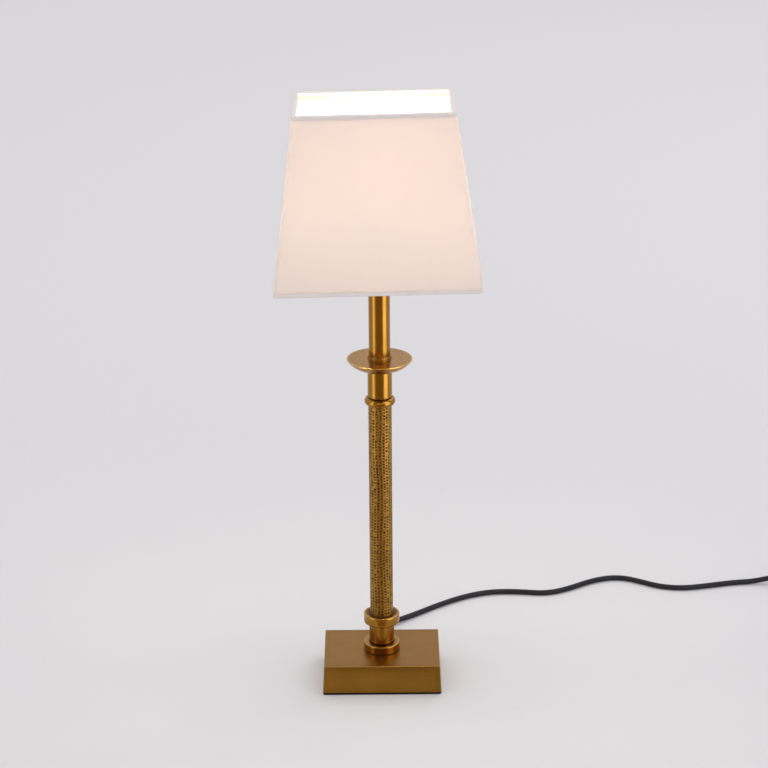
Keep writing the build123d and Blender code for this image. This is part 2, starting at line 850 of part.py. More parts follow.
coil_pitch = 2 * cord_radius + coil_gap
coil_low = tie_thickness + tie_gap + cord_radius
coil_high = coil_low + coil_pitch
coil_ramp_turns = (coil_turns - 0.5) / 2  # turns that wind in, and as many that wind out
coil_inner_radius = coil_middle_radius - coil_pitch * coil_ramp_turns / 2
switch_start = cord_route[-1][0]
switch_axis_y = cord_route[-1][1]
switch_middle = switch_start + nozzle_length + switch_length / 2
switch_end = switch_start + switch_length + 2 * nozzle_length
coil_x = switch_end - nozzle_length + coil_clear_of_switch
coil_y = switch_axis_y - coil_inner_radius - coil_pitch * coil_ramp_turns
plug_axis_y = coil_y - coil_inner_radius - coil_pitch * coil_ramp_turns
plug_axis_z = plug_thickness / 2
plug_end = coil_x - coil_lead_in - 2 * cord_radius


def coil_point(turns):
    """A point of the coil: it winds in on the floor, climbs where it reverses, and winds out."""
    past = turns - coil_ramp_turns
    if past <= 0:
        radius, height = coil_inner_radius - coil_pitch * past, coil_low
    elif past < 0.5:
        radius = coil_inner_radius - coil_pitch * past + 2 * coil_pitch * past**2
        share = 2 * past
        height = coil_low + (coil_high - coil_low) * share**2 * (3 - 2 * share)
    else:
        radius, height = coil_inner_radius + coil_pitch * (past - 0.5), coil_high
    angle = pi / 2 - 2 * pi * turns
    return Vector(coil_x + radius * cos(angle), coil_y + radius * sin(angle), height)


def coil_heading(turns):
    """The direction of travel along the coil; its two ends run square to the switch and the plug."""
    if turns == 0:
        return Vector(1, 0, 0)
    if turns == coil_turns:
        return Vector(-1, 0, 0)
    step = 1e-4
    return (coil_point(turns + step) - coil_point(turns - step)).normalized()


def biarc(start, start_heading, end, end_heading):
    """Two tangent arcs that leave one point and reach another in given directions."""
    chord, both = end - start, start_heading + end_heading
    bend = 2 * (1 - start_heading.dot(end_heading))
    if bend < 1e-9:
        reach = chord.dot(chord) / (4 * chord.dot(end_heading))
    else:
        reach = (sqrt(chord.dot(both) ** 2 + bend * chord.dot(chord)) - chord.dot(both)) / bend
    joint = (start + start_heading * reach + end - end_heading * reach) * 0.5
    first = TangentArc(start, joint, tangent=start_heading)
    return [first, TangentArc(joint, end, tangent=first % 1)]


def coil_path():
    straight = 2 * cord_radius
    ahead, back = Vector(1, 0, 0), Vector(-1, 0, 0)
    leave = Vector(switch_end, switch_axis_y, switch_parting)
    first, last = coil_point(0), coil_point(coil_turns)
    arrive = Vector(plug_end, plug_axis_y, plug_axis_z)
    pieces = [Line(leave, leave + ahead * straight)]
    pieces += biarc(leave + ahead * straight, ahead, first, ahead)
    quarters = int(4 * coil_turns)
    stops = [k * coil_turns / quarters for k in range(quarters + 1)]
    for a, b in zip(stops, stops[1:]):
        pieces += biarc(coil_point(a), coil_heading(a), coil_point(b), coil_heading(b))
    pieces += biarc(last, back, arrive - back * straight, back)
    pieces += [Line(arrive - back * straight, arrive)]
    return pieces


def least_self_gap(path, spacing, far):
    """The least gap of a tube to itself, on points that lie far enough apart along it."""
    count = ceil(path.length / spacing)
    points = [path @ (k / count) for k in range(count + 1)]
    points = [(p.X, p.Y, p.Z) for p in points]
    skip = ceil(far / spacing)
    return min(
        dist(points[i], points[j]) for i in range(len(points)) for j in range(i + skip, len(points))
    ) - 2 * cord_radius


def cord_coil():
    path = Wire(coil_path())
    tube = tube_along(path, cord_radius)
    print("coil: length", round(path.length, 1), "mm, least gap to itself",
          round(least_self_gap(path, 1.5, 12 * cord_radius), 2), "mm")
    print("coil: volume over section times length", round(tube.volume / (pi * cord_radius**2 * path.length), 5))
    return tube


def coil_tie():
    """A strap round all the turns, on the coil's far side from the switch."""
    inner_reach = coil_inner_radius - cord_radius - tie_gap
    outer_reach = coil_inner_radius + coil_pitch * coil_ramp_turns + cord_radius + tie_gap
    low = tie_thickness
    high = coil_high + cord_radius + tie_gap
    middle = (inner_reach + outer_reach) / 2

    def loop(grow, width):
        outline = RectangleRounded(outer_reach - inner_reach + 2 * grow, high - low + 2 * grow, tie_corner + grow)
        face = Plane((coil_x + middle, coil_y, (low + high) / 2), x_dir=(1, 0, 0), z_dir=(0, -1, 0)) * outline
        return extrude(face, width / 2, both=True)

    return loop(tie_thickness, tie_width) - loop(0, tie_width + 2 * over)


# ---------------------------------------------------------------------------- in-line switch
def switch_solid(low, high, inset):
    """The switch's outline between two heights, drawn in on every side by an inset."""
    outline = RectangleRounded(switch_length - 2 * inset, switch_width - 2 * inset, switch_corner - inset)
    return extrude(Pos(switch_middle, switch_axis_y, low) * outline, high - low)


def switch_screw_spots():
    x, y = switch_screw_x, switch_screw_y
    return [(switch_middle - x, switch_axis_y + y), (switch_middle + x, switch_axis_y - y)]


def switch_half(is_cover):
    low, high = (switch_parting, switch_height) if is_cover else (0, switch_parting)
    outer_face = high if is_cover else low
    half = switch_solid(low, high, 0)
    rim = [e for e in half.edges() if abs(e.center().Z - outer_face) < 1e-4]
    half = fillet(rim, switch_edge)
    nozzles = rod(
        (switch_start, switch_axis_y, switch_parting), (switch_end, switch_axis_y, switch_parting), nozzle_radius
    )
    half += nozzles & block(
        2 * switch_length, switch_width, low, high, switch_middle, switch_axis_y
    )
    if is_cover:
        half -= switch_solid(low - over, high - switch_wall, switch_wall)
    else:
        half -= switch_solid(low + switch_wall, high + over, switch_wall)
    bore = rod(
        (switch_start - over, switch_axis_y, switch_parting),
        (switch_end + over, switch_axis_y, switch_parting),
        cord_radius + cord_bore_gap,
    )
    post_low, post_high = (low, high - switch_wall / 2) if is_cover else (low + switch_wall / 2, high)
    for x, y in switch_screw_spots():
        half += disc(switch_screw_radius + switch_post_wall, post_low, post_high, x, y)
    return half - bore


def pivot_height():
    return switch_height - pivot_below_top


def switch_cover():
    cover = switch_half(True)
    slot_width = rocker_width + 2 * rocker_slot_gap
    for side in (-1, 1):
        y = switch_axis_y + side * (slot_width + ear_thickness) / 2
        ear_top = switch_height - switch_wall / 2
        ear = block(ear_length, ear_thickness, pivot_height() - ear_drop, ear_top, switch_middle, y)
        cover += ear
    reach = slot_width / 2 + ear_thickness + over
    cover -= rod(
        (switch_middle, switch_axis_y - reach, pivot_height()),
        (switch_middle, switch_axis_y + reach, pivot_height()),
        pivot_radius + pivot_gap,
    )
    slot_top = switch_height + over
    cover -= block(rocker_slot_length, slot_width, switch_parting, slot_top, switch_middle, switch_axis_y)
    for x, y in switch_screw_spots():
        top = switch_screw_length + slip_gap + screw_hole_extra
        cover -= disc(switch_screw_radius + pivot_gap, switch_parting - over, top, x, y)
    return cover


def switch_base():
    base = switch_half(False)
    for x, y in switch_screw_spots():
        base -= disc(switch_screw_radius + slip_gap, -over, switch_parting + over, x, y)
        base -= disc(switch_head_radius + slip_gap, -over, switch_head_height + slip_gap, x, y)
    return base


def switch_screws():
    screws = []
    for x, y in switch_screw_spots():
        head = disc(switch_head_radius, slip_gap, slip_gap + switch_head_height, x, y)
        screws.append(head + disc(switch_screw_radius, switch_head_height, slip_gap + switch_screw_length, x, y))
    return screws


def switch_rocker():
    """A two-sided rocker on its own pivot stubs, pressed down at the side that is on."""
    half, keel = rocker_length / 2, rocker_keel_half_length
    side_view = Polyline(
        (-half, rocker_end_height),
        (0, rocker_dip_height),
        (half, rocker_end_height),
        (half, rocker_lip_height),
        (keel, -rocker_keel_depth),
        (-keel, -rocker_keel_depth),
        (-half, rocker_lip_height),
        close=True,
    )
    paddle = extrude(Plane.XZ * make_face(side_view), rocker_width / 2, both=True)
    reach = rocker_width / 2 + rocker_slot_gap + ear_thickness - moving_gap
    paddle += rod((0, -reach, 0), (0, reach, 0), pivot_radius)
    return Pos(switch_middle, switch_axis_y, pivot_height()) * Rot(0, rocker_tilt, 0) * paddle


def switch_contacts():
    strips = []
    for side in (-1, 1):
        x = switch_middle + side * (contact_length / 2 + contact_gap_half)
        y = switch_axis_y + contact_side
        foot = block(contact_length, contact_width, switch_wall, switch_wall + contact_strip, x, y)
        post = block(contact_post, contact_width, switch_wall, switch_wall + contact_height, x, y)
        strips.append(foot + post)
    return strips


def switch_wires():
    """The lead's two ends in the nozzles and the core that runs through uncut."""
    inward = nozzle_length + sheath_in_switch
    ends = []
    for face, side in ((switch_start, 1), (switch_end, -1)):
        ends.append(
            rod(
                (face, switch_axis_y, switch_parting),
                (face + side * inward, switch_axis_y, switch_parting),
                cord_radius,
            )
        )
    y = switch_axis_y - wire_spread
    core = rod(
        (switch_start + inward, y, switch_parting), (switch_end - inward, y, switch_parting), wire_radius
    )
    return ends + [core]


# ------------------------------------------------------------------------------------- plug
def plug_front():
    return plug_end - plug_relief_length


def plug_body():
    """A flat two-pin plug lying on its side, its body narrower at the face that bears the pins."""
    front, nose = plug_front(), plug_front() - plug_body_length
    half_waist = plug_relief_root + plug_waist_margin
    half_wide, half_nose = plug_width / 2, plug_nose_width / 2
    outline = Polyline(
        (front, plug_axis_y - half_waist),
        (front, plug_axis_y + half_waist),
        (front - plug_shoulder_length, plug_axis_y + half_wide),
        (nose, plug_axis_y + half_nose),
        (nose, plug_axis_y - half_nose),
        (front - plug_shoulder_length, plug_axis_y - half_wide),
        close=True,
    )
    body = extrude(make_face(outline), plug_thickness)
    return fillet(body.edges(), plug_edge)


def plug_relief():
    tip = Plane((plug_end, plug_axis_y, plug_axis_z), z_dir=(-1, 0, 0))
    return Solid.make_cone(plug_relief_tip, plug_relief_root, plug_relief_length, tip)


def plug_pins():
    nose = plug_front() - plug_body_length
    pins = []
    for side in (-1, 1):
        y = plug_axis_y + side * pin_spread / 2
        pin = rod((nose, y, plug_axis_z), (nose - pin_length, y, plug_axis_z), pin_radius)
        pins.append(fillet(pin.edges().sort_by(Axis.X)[0], pin_tip_edge))
    return pins


# ----------------------------------------------------------------------------------- writing
nodes = {
    "foot_pad": foot_pad,
    "bottom_plate": bottom_plate,
    "bottom_plate_screws": plate_screws,
    "base_shell": base_shell,
    "base_weight": base_weight,
    "stem_rod": stem_rod,
    "rod_washer": rod_washer,
    "rod_nut": rod_nut,
    "foot_ring": foot_ring,
    "neck_tube": neck,
    "collar": collar,
    "textured_column": column,
    "bead_ring": bead,
    "drip_tube": drip_tube,
    "drip_pan": drip_pan,
    "candle_tube": candle_tube,
    "candle_cap": candle_cap,
    "holder_base": holder_base,
    "holder_skirt": holder_skirt,
    "holder_insert": holder_insert,
    "holder_terminal_screws": terminal_screws,
    "holder_screw_shell": screw_shell,
    "holder_centre_tongue": centre_tongue,
    "shade_lock_ring": lock_ring,
    "bulb_contact": bulb_contact,
    "bulb_insulator": bulb_bead,
    "bulb_screw_cap": bulb_cap,
    "bulb_glass": bulb_glass,
    "bulb_stem": bulb_stem,
    "bulb_filaments": bulb_filaments,
    "shade_fabric": lambda: shade_wall(0, -fabric_thickness),
    "shade_liner": lambda: shade_wall(-fabric_thickness, -fabric_thickness - liner_thickness),
    "shade_frame": shade_frame,
    "shade_top_wire": lambda: shade_wire(top_wire_height),
    "shade_top_trim": lambda: shade_trim(shade_top, -1),
    "shade_bottom_trim": lambda: shade_trim(shade_bottom, 1),
    "cord_relief": cord_relief,
    "cord_inside": cord_inside,
    "cord_clamp": cord_clamp,
    "cord_clamp_screws": clamp_screws,
    "lamp_wires": lamp_wires,
    "cord_free": cord_free,
    "cord_coil": cord_coil,
    "coil_tie": coil_tie,
    "switch_base": switch_base,
    "switch_cover": switch_cover,
    "switch_screws": switch_screws,
    "switch_rocker": switch_rocker,
    "switch_contacts": switch_contacts,
    "switch_wires": switch_wires,
    "plug_body": plug_body,
    "plug_relief": plug_relief,
    "plug_pins": plug_pins,
}

os.makedirs("parts", exist_ok=True)
for name, make in nodes.items():
    piece = make()
    if isinstance(piece, list):
        piece = Compound(children=[s for p in piece for s in p.solids()])
    export_step(piece, f"parts/{name}.step")
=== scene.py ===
"""A candlestick table lamp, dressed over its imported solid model: aged brass on a rectangular base,
a pitted column, a drip pan, a lit fabric shade, and a black lead with its switch and plug."""

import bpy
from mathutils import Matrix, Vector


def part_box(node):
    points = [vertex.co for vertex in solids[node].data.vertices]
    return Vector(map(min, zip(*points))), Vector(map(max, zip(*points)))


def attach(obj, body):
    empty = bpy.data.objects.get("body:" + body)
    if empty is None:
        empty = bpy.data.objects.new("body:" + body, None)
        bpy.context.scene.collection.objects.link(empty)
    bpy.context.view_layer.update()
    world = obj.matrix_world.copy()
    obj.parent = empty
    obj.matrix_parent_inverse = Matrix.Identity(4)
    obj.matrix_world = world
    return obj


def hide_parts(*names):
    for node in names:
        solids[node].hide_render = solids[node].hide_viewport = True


bl_info = {
    "name": "Candlestick table lamp",
    "version": (1, 0, 0),
    "blender": (4, 5, 0),
    "location": "3D View > Sidebar > Table lamp",
    "description": "Dresses the solid model of a candlestick table lamp with its real surfaces",
    "category": "Object",
}

from math import asin, atan2, cos, hypot, pi, radians, sin, sqrt, tan

import bmesh
import bpy
from bpy.props import FloatProperty, FloatVectorProperty, IntProperty, PointerProperty
from mathutils import Matrix, Vector

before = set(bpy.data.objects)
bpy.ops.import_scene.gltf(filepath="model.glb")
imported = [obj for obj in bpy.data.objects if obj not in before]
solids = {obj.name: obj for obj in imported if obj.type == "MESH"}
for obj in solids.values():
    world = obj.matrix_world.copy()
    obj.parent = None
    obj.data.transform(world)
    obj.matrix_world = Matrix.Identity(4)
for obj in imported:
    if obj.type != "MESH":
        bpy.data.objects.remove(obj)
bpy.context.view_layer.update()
MM = 0.001
# thickness of the lampholder's flange, and pitch of the bulb's thread
FLANGE, BULB_PITCH = 0.002, 0.0028


# ------------------------------------------------------------------ places read from the solids
def low(node):
    """The height of a solid's underside."""
    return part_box(node)[0].z


def high(node):
    """The height of a solid's top."""
    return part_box(node)[1].z


def reach(node):
    """How far a solid reaches along X from the stem's axis."""
    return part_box(node)[1].x


# ------------------------------------------------------------------------ sizes and colours
def size(name, default, description):
    return FloatProperty(name=name, default=default, description=description, unit="LENGTH", precision=5)


def count(name, default, description):
    return IntProperty(name=name, default=default, description=description, min=1, max=400)


def tilt(name, default, description):
    return FloatProperty(name=name, default=default, description=description, subtype="ANGLE")


def watts(name, default, description):
    return FloatProperty(name=name, default=default, description=description, subtype="POWER")


def colour(name, default, description):
    return FloatVectorProperty(
        name=name, default=default, description=description, subtype="COLOR", size=3, min=0, max=1
    )


class StemSizes(bpy.types.PropertyGroup):
    """Sizes of the brass candlestick."""

    tube_wall: size("Tube wall", 0.002, "Wall of the brass tubes")
    rod_hole: size("Rod hole", 0.0053, "Radius of the hole that the threaded rod passes through")
    edge: size("Edge", 0.0006, "Rounding of the turned edges")
    pits_around: count("Pits around", 22, "Pits in one row round the column")
    pit_pitch: size("Pit pitch", 0.0031, "Height from one row of pits to the next")
    pit_depth: size("Pit depth", 0.0006, "Depth of the pits in the column")
    pit_ripple: size("Ripple", 0.00008, "Height of the soft ripples between the pits")
    base_edge: size("Base edge", 0.0008, "Rounding of the base's edges")
    base_wall: size("Base wall", 0.0025, "Wall of the hollow base")
    base_top_width: size("Base width", 0.1168, "Width of the base's top face")
    base_top_depth: size("Base depth", 0.085, "Depth of the base's top face")


class ShadeSizes(bpy.types.PropertyGroup):
    """Sizes of the fabric shade."""

    bottom_width: size("Bottom width", 0.198, "Width across the bottom")
    bottom_depth: size("Bottom depth", 0.138, "Depth across the bottom")
    top_width: size("Top width", 0.153, "Width across the top")
    top_depth: size("Top depth", 0.099, "Depth across the top")
    tall: size("Height", 0.169, "Height of the shade")
    drop: size("Drop", 0.0465, "Height of the fitter ring above the shade's bottom edge")
    corner: size("Corner", 0.0045, "Rounding of the four upright corners")
    shift: size("Shift", -0.0015, "How far the fitter ring is welded off the shade's middle")
    lean: tilt("Lean", radians(1), "How far the shade hangs off level")
    cloth: size("Cloth", 0.0006, "Thickness of the fabric")
    liner: size("Liner", 0.0008, "Thickness of the liner")
    trim: size("Trim", 0.0042, "Height of the rolled trims")
    wire: size("Wire", 0.0014, "Radius of the top and bottom wires")
    arm: size("Arm", 0.0012, "Radius of the spider's arms")
    thread: size("Thread", 0.00052, "Width of one thread of the weave")


class LeadSizes(bpy.types.PropertyGroup):
    """Sizes of the mains lead."""

    radius: size("Radius", 0.0029, "Radius of the lead")
    free_length: size("Free length", 0.5237, "Length from the base to the switch")
    coil_length: size("Coil length", 1.21, "Length from the switch to the plug")
    coil_radius: size("Coil radius", 0.034, "Radius at the middle of the coil's turns")
    coil_turns: FloatProperty(name="Turns", default=5.5, description="Turns of the coil", min=1, max=24)
    coil_gap: size("Coil gap", 0.0006, "Gap between turns that lie side by side")
    lead_in: size("Lead-in", 0.024, "Length over which the lead rises to the coil's layers")


class Finishes(bpy.types.PropertyGroup):
    """Colours of the lamp's surfaces."""

    brass: colour("Brass", (0.405, 0.193, 0.028), "Aged brass")
    rubbed: colour("Rubbed brass", (0.66, 0.42, 0.13), "Brass where edges are rubbed bright")
    # the patina colour also paints the painted shade and reflection at the turned pieces' joints
    patina: colour("Patina", (0.040, 0.017, 0.004), "Dark patina in joints")
    pits: colour("Pits", (0.075, 0.036, 0.009), "Patina in the column's pits")
    cloth: colour("Cloth", (0.95, 0.875, 0.85), "Fabric of the shade")
    glow: colour("Glow", (1.0, 0.975, 0.95), "Light that the fabric lets through")
    # painted glow: emission colours on the fabric and its trims that stand for the bulb's light shining
    # through
    painted_glow_low: colour("Warmth below", (0.45, 0.31, 0.29), "Glow of the lit fabric at the shade's bottom")
    painted_glow_high: colour("Warmth above", (0.95, 0.62, 0.48), "Glow of the lit fabric at the shade's top")
    trim: colour("Trim", (0.86, 0.81, 0.785), "Rolled trims of the shade")
    liner: colour("Liner", (0.95, 0.93, 0.86), "Inside of the shade")
    lead: colour("Lead", (0.009, 0.009, 0.011), "Sheath of the lead")
    plastic: colour("Plastic", (0.014, 0.014, 0.015), "Switch and plug")
    holder: colour("Holder", (0.85, 0.85, 0.82), "Lampholder")
    felt: colour("Felt", (0.005, 0.004, 0.003), "Pad under the base")


class StageSettings(bpy.types.PropertyGroup):
    """The floor, the lights and the camera."""

    floor: colour("Floor", (0.765, 0.752, 0.755), "Colour of the floor")
    backdrop: colour("Backdrop", (0.80, 0.80, 0.85), "Colour that the camera sees past the floor")
    room: colour("Room", (0.84, 0.835, 0.85), "Light of the white room")
    dim: colour("Dim side", (0.36, 0.25, 0.10), "The dim wooden side of the room, as the brass mirrors it")
    camera_place: FloatVectorProperty(
        name="Camera", default=(0.0, -2.2991, 1.1696), description="Place of the camera",
        subtype="TRANSLATION",
    )
    camera_pitch: tilt("Pitch", radians(20.326), "How far the camera looks down")
    camera_yaw: tilt("Yaw", radians(-0.1027), "How far the camera looks to the left")
    camera_roll: tilt("Roll", 0.0075, "How far the camera is rolled")
    lens: FloatProperty(
        name="Lens", default=117.19, description="Focal length in millimetres", min=20, max=400
    )
    overhead: watts("Overhead", 13.0, "Power of the overhead light")
    right: watts("Right", 4.2, "Power of the right softbox")
    left: watts("Left", 1.9, "Power of the left softbox")
    front: watts("Front", 0.62, "Power of the front softbox")
    bulb: watts("Bulb", 1.55, "Power of the lit bulb")


# --------------------------------------------------------------------------------- node trees
class Value:
    """A socket of a node tree, on which arithmetic adds Math nodes."""

    def __init__(self, graph, socket):
        self.graph, self.socket = graph, socket

    def maths(self, operation, *terms):
        return self.graph.add("ShaderNodeMath", {"operation": operation}, dict(enumerate(terms)))[0]

    def __add__(self, other):
        return self.maths("ADD", self, other)

    def __radd__(self, other):
        return self.maths("ADD", other, self)

    def __sub__(self, other):
        return self.maths("SUBTRACT", self, other)

    def __rsub__(self, other):
        return self.maths("SUBTRACT", other, self)

    def __mul__(self, other):
        return self.maths("MULTIPLY", self, other)

    def __rmul__(self, other):
        return self.maths("MULTIPLY", other, self)

    def __truediv__(self, other):
        return self.maths("DIVIDE", self, other)

    def __pow__(self, other):
        return self.maths("POWER", self, other)

    def least(self, other):
        return self.maths("MINIMUM", self, other)

    def most(self, other):
        return self.maths("MAXIMUM", self, other)

    def sine(self):
        return self.maths("SINE", self)

    def size(self):
        return self.maths("ABSOLUTE", self)

    def whole(self):
        return self.maths("FLOOR", self)

    def held(self):
        """The value held between 0 and 1."""
        return self.most(0.0).least(1.0)


class Made:
    """A node, whose outputs are read by name, identifier or place."""

    def __init__(self, graph, node):
        self.graph, self.node = graph, node

    def __getitem__(self, key):
        return Value(self.graph, Graph.find(self.node.outputs, key))


class Graph:
    """A node tree that is being built."""

    def __init__(self, tree):
        self.tree = tree

    @staticmethod
    def find(sockets, key):
        if isinstance(key, int):
            return sockets[key]
        for socket in sockets:
            if socket.identifier == key or socket.name == key and socket.enabled:
                return socket
        raise KeyError(key)

    def add(self, kind, settings=None, inputs=None):
        """A node of a type, with its settings set before its sockets' values or links."""
        node = self.tree.nodes.new(kind)
        for key, value in (settings or {}).items():
            if key == "stops":
                ramp = node.color_ramp
                while len(ramp.elements) < len(value):
                    ramp.elements.new(0.5)
                for element, (place, tone) in zip(ramp.elements, value):
                    element.position, element.color = place, (*tone, 1.0)
            else:
                setattr(node, key, value)
        for key, value in (inputs or {}).items():
            socket = self.find(node.inputs, key)
            if isinstance(value, Value):
                self.tree.links.new(value.socket, socket)
            elif socket.type == "RGBA" and len(value) == 3:
                socket.default_value = (*value, 1.0)
            else:
                socket.default_value = value
        return Made(self, node)

    def place(self):
        """Object coordinates, in metres."""
        return self.add("ShaderNodeTexCoord")["Object"]

    def cloth_place(self):
        """The piece's own UV map, in metres."""
        return self.add("ShaderNodeUVMap", {"uv_map": "flat"})["UV"]

    def parts(self, vector):
        made = self.add("ShaderNodeSeparateXYZ", {}, {0: vector})
        return made[0], made[1], made[2]

    def vector(self, x, y, z):
        return self.add("ShaderNodeCombineXYZ", {}, {0: x, 1: y, 2: z})[0]

    def noise(self, at, scale, detail=3.0, roughness=0.55, stretch=None):
        if stretch:
            at = self.add("ShaderNodeMapping", {}, {"Vector": at, "Scale": stretch})[0]
        return self.add(
            "ShaderNodeTexNoise", {}, {"Vector": at, "Scale": scale, "Detail": detail, "Roughness": roughness}
        )[0]

    def blend(self, factor, first, second):
        return self.add(
            "ShaderNodeMix",
            {"data_type": "RGBA"},
            {"Factor_Float": factor, "A_Color": first, "B_Color": second},
        )["Result_Color"]

    def attribute(self, name):
        return self.add("ShaderNodeAttribute", {"attribute_name": name})["Fac"]

    def bump(self, height, distance, strength=1.0):
        return self.add(
            "ShaderNodeBump", {}, {"Height": height, "Distance": distance, "Strength": strength}
        )["Normal"]

    def surface(self, **values):
        names = {key.replace("_", " ").title().replace("Ior", "IOR"): value for key, value in values.items()}
        return self.add("ShaderNodeBsdfPrincipled", {}, names)["BSDF"]

    def mixed(self, factor, first, second):
        return self.add("ShaderNodeMixShader", {}, {0: factor, 1: first, 2: second})[0]

    def lit_through(self, front, tone):
        """A sheet that lets half of the light through."""
        return self.mixed(0.5, front, self.add("ShaderNodeBsdfTranslucent", {}, {"Color": tone})[0])

    def glow(self, tone):
        return self.add("ShaderNodeEmission", {}, {"Color": tone})[0]


def scaled(tint, factor, lift=0.0):
    """A colour made darker or paler."""
    return tuple(min(c * factor + lift, 1.0) for c in tint)


def tuned(value, gain, middle=0.5):
    """A value with its contrast about its middle changed, held between 0 and 1."""
    return ((value - middle) * gain + 0.5).held()


def make_material(name, build):
    """A node material, whose surface the build function returns for its graph."""
    made = bpy.data.materials.new(name)
    made.use_nodes = True
    made.node_tree.nodes.clear()
    graph = Graph(made.node_tree)
    graph.add("ShaderNodeOutputMaterial", {}, {"Surface": build(graph)})
    return made


# --------------------------------------------------------------------------------- materials
def turned_brass(graph, finish):
    """Brass turned on a lathe: fine rings, a cloudy patina, rubbed rims, and dark joints that are patina and
    painted shade.
    """
    place = graph.place()
    clouds = tuned(graph.noise(place, 34.0, 4.0), 1.7)
    specks = tuned(graph.noise(place, 520.0, 2.0), 2.2)
    rings = graph.noise(place, 1.0, 2.0, 0.6, (60.0, 60.0, 3200.0))
    rub = graph.attribute("rub")
    tone = graph.blend(clouds * 0.22 + specks * 0.08, finish.brass, finish.patina)
    tone = graph.blend((rub * (0.55 + clouds * 0.35)).held(), tone, finish.rubbed)
    # below zero, rub blends in the patina colour: patina in the joints and painted shade and reflection where
    # the pieces meet
    tone = graph.blend(((0.0 - rub) * (0.75 + specks * 0.25)).held(), tone, finish.patina)
    return graph.surface(
        base_color=tone,
        metallic=1.0,
        roughness=0.155 + clouds * 0.08 + rings * 0.07 + (0.0 - rub).held() * 0.25,
        normal=graph.bump(rings * 0.6 + clouds * 0.25 + specks * 0.15, 0.00002, 0.6),
    )


def brushed_brass(graph, finish, stem):
    """The base's brass, brushed along its length, with rubbed edges."""
    place = graph.place()
    x, y, z = graph.parts(place)
    clouds = tuned(graph.noise(place, 22.0, 4.0), 1.6)
    streaks = graph.noise(place, 1.0, 3.0, 0.6, (9.0, 1500.0, 1500.0))
    soft_streaks = graph.noise(place, 1.0, 2.0, 0.5, (14.0, 160.0, 160.0))
    height = high("base_shell") - z
    slope, rub_width, rim_width = 0.05, 0.0011, 0.008
    flare = height * slope
    side = stem.base_top_width / 2 + flare - x.size()
    face = stem.base_top_depth / 2 + flare - y.size()
    # the second nearest of the faces tells how far the nearest edge is
    edge = side.least(face).most(side.most(face).least(height))
    rub = (1.0 - edge / rub_width).held()
    rim = (1.0 - edge / rim_width).held()
    tone = graph.blend(0.16 + clouds * 0.18 + soft_streaks * 0.18, finish.brass, finish.patina)
    tone = graph.blend(rim * clouds * 0.25, tone, finish.patina)
    tone = graph.blend(rub * (0.35 + clouds * 0.4), tone, finish.rubbed)
    return graph.surface(
        base_color=tone,
        metallic=1.0,
        roughness=0.25 + clouds * 0.07 + streaks * 0.10,
        normal=graph.bump(streaks * 0.7 + clouds * 0.3, 0.00003, 0.55),
    )


def pitted_brass(graph, finish):
    """The column's brass, with its patina left in the pits."""
    place = graph.place()
    pit = graph.attribute("pit")
    clouds = tuned(graph.noise(place, 26.0, 4.0), 1.8)
    grain = tuned(graph.noise(place, 900.0, 3.0), 2.0)
    fibre = graph.noise(place, 1.0, 2.0, 0.6, (700.0, 700.0, 1500.0))
    tone = graph.blend(clouds * 0.34 + grain * 0.16, finish.brass, finish.patina)
    tone = graph.blend(tuned(fibre, 3.0) * 0.34 * (1.0 - pit), tone, finish.rubbed)
    tone = graph.blend(pit * 0.96, tone, finish.pits)
    return graph.surface(
        base_color=tone,
        metallic=1.0,
        roughness=0.30 + clouds * 0.10 + pit * 0.2,
        normal=graph.bump(fibre * 0.6 + grain * 0.4, 0.00012, 0.8),
    )


def plain_metal(graph, tint, rough, scale=600.0, metallic=1.0):
    """Plated or bright metal with fine scratches."""
    place = graph.place()
    clouds = tuned(graph.noise(place, scale * 0.1, 3.0), 1.5)
    scratches = graph.noise(place, 1.0, 2.0, 0.6, (scale, scale, scale * 5))
    dark = scaled(tint, 0.6)
    return graph.surface(
        base_color=graph.blend(clouds * 0.4, tint, dark),
        metallic=metallic,
        roughness=rough + scratches * 0.1,
        normal=graph.bump(scratches, 0.00002, 0.4),
    )


def shade_cloth(graph, finish, shade):
    """A fine plain weave with slubs, which lets the bulb's light through, and a painted glow in its emission
    that is brighter towards the top.
    """
    at = graph.cloth_place()
    u, v = graph.parts(at)[:2]
    turn = 2 * pi / shade.thread
    across, along = (26.0, 900.0, 1.0), (900.0, 26.0, 1.0)
    warp = (u * turn).sine()
    weft = (v * turn).sine()
    weave = warp * weft * 0.5 + 0.5
    slub = tuned(graph.noise(at, 1.0, 3.0, 0.6, across), 2.4)
    slub_up = tuned(graph.noise(at, 1.0, 3.0, 0.6, along), 2.4)
    thick = slub * 0.5 + slub_up * 0.5
    # painted glow: the fabric's emission runs from the low glow colour at the bottom to the high one at the
    # top
    rise = ((v + shade.drop) / shade.tall).held()
    soft = scaled(finish.cloth, 0.9)
    tone = graph.blend(weave * 0.3 + thick * 0.45, finish.cloth, soft)
    front = graph.surface(
        base_color=tone,
        roughness=0.92,
        sheen_weight=0.15,
        specular_ior_level=0.12,
        emission_color=graph.blend(rise, finish.painted_glow_low, finish.painted_glow_high),
        emission_strength=0.17,
        normal=graph.bump(weave * 0.6 + thick * 0.4, 0.00012, 0.5),
    )
    return graph.lit_through(front, finish.glow)


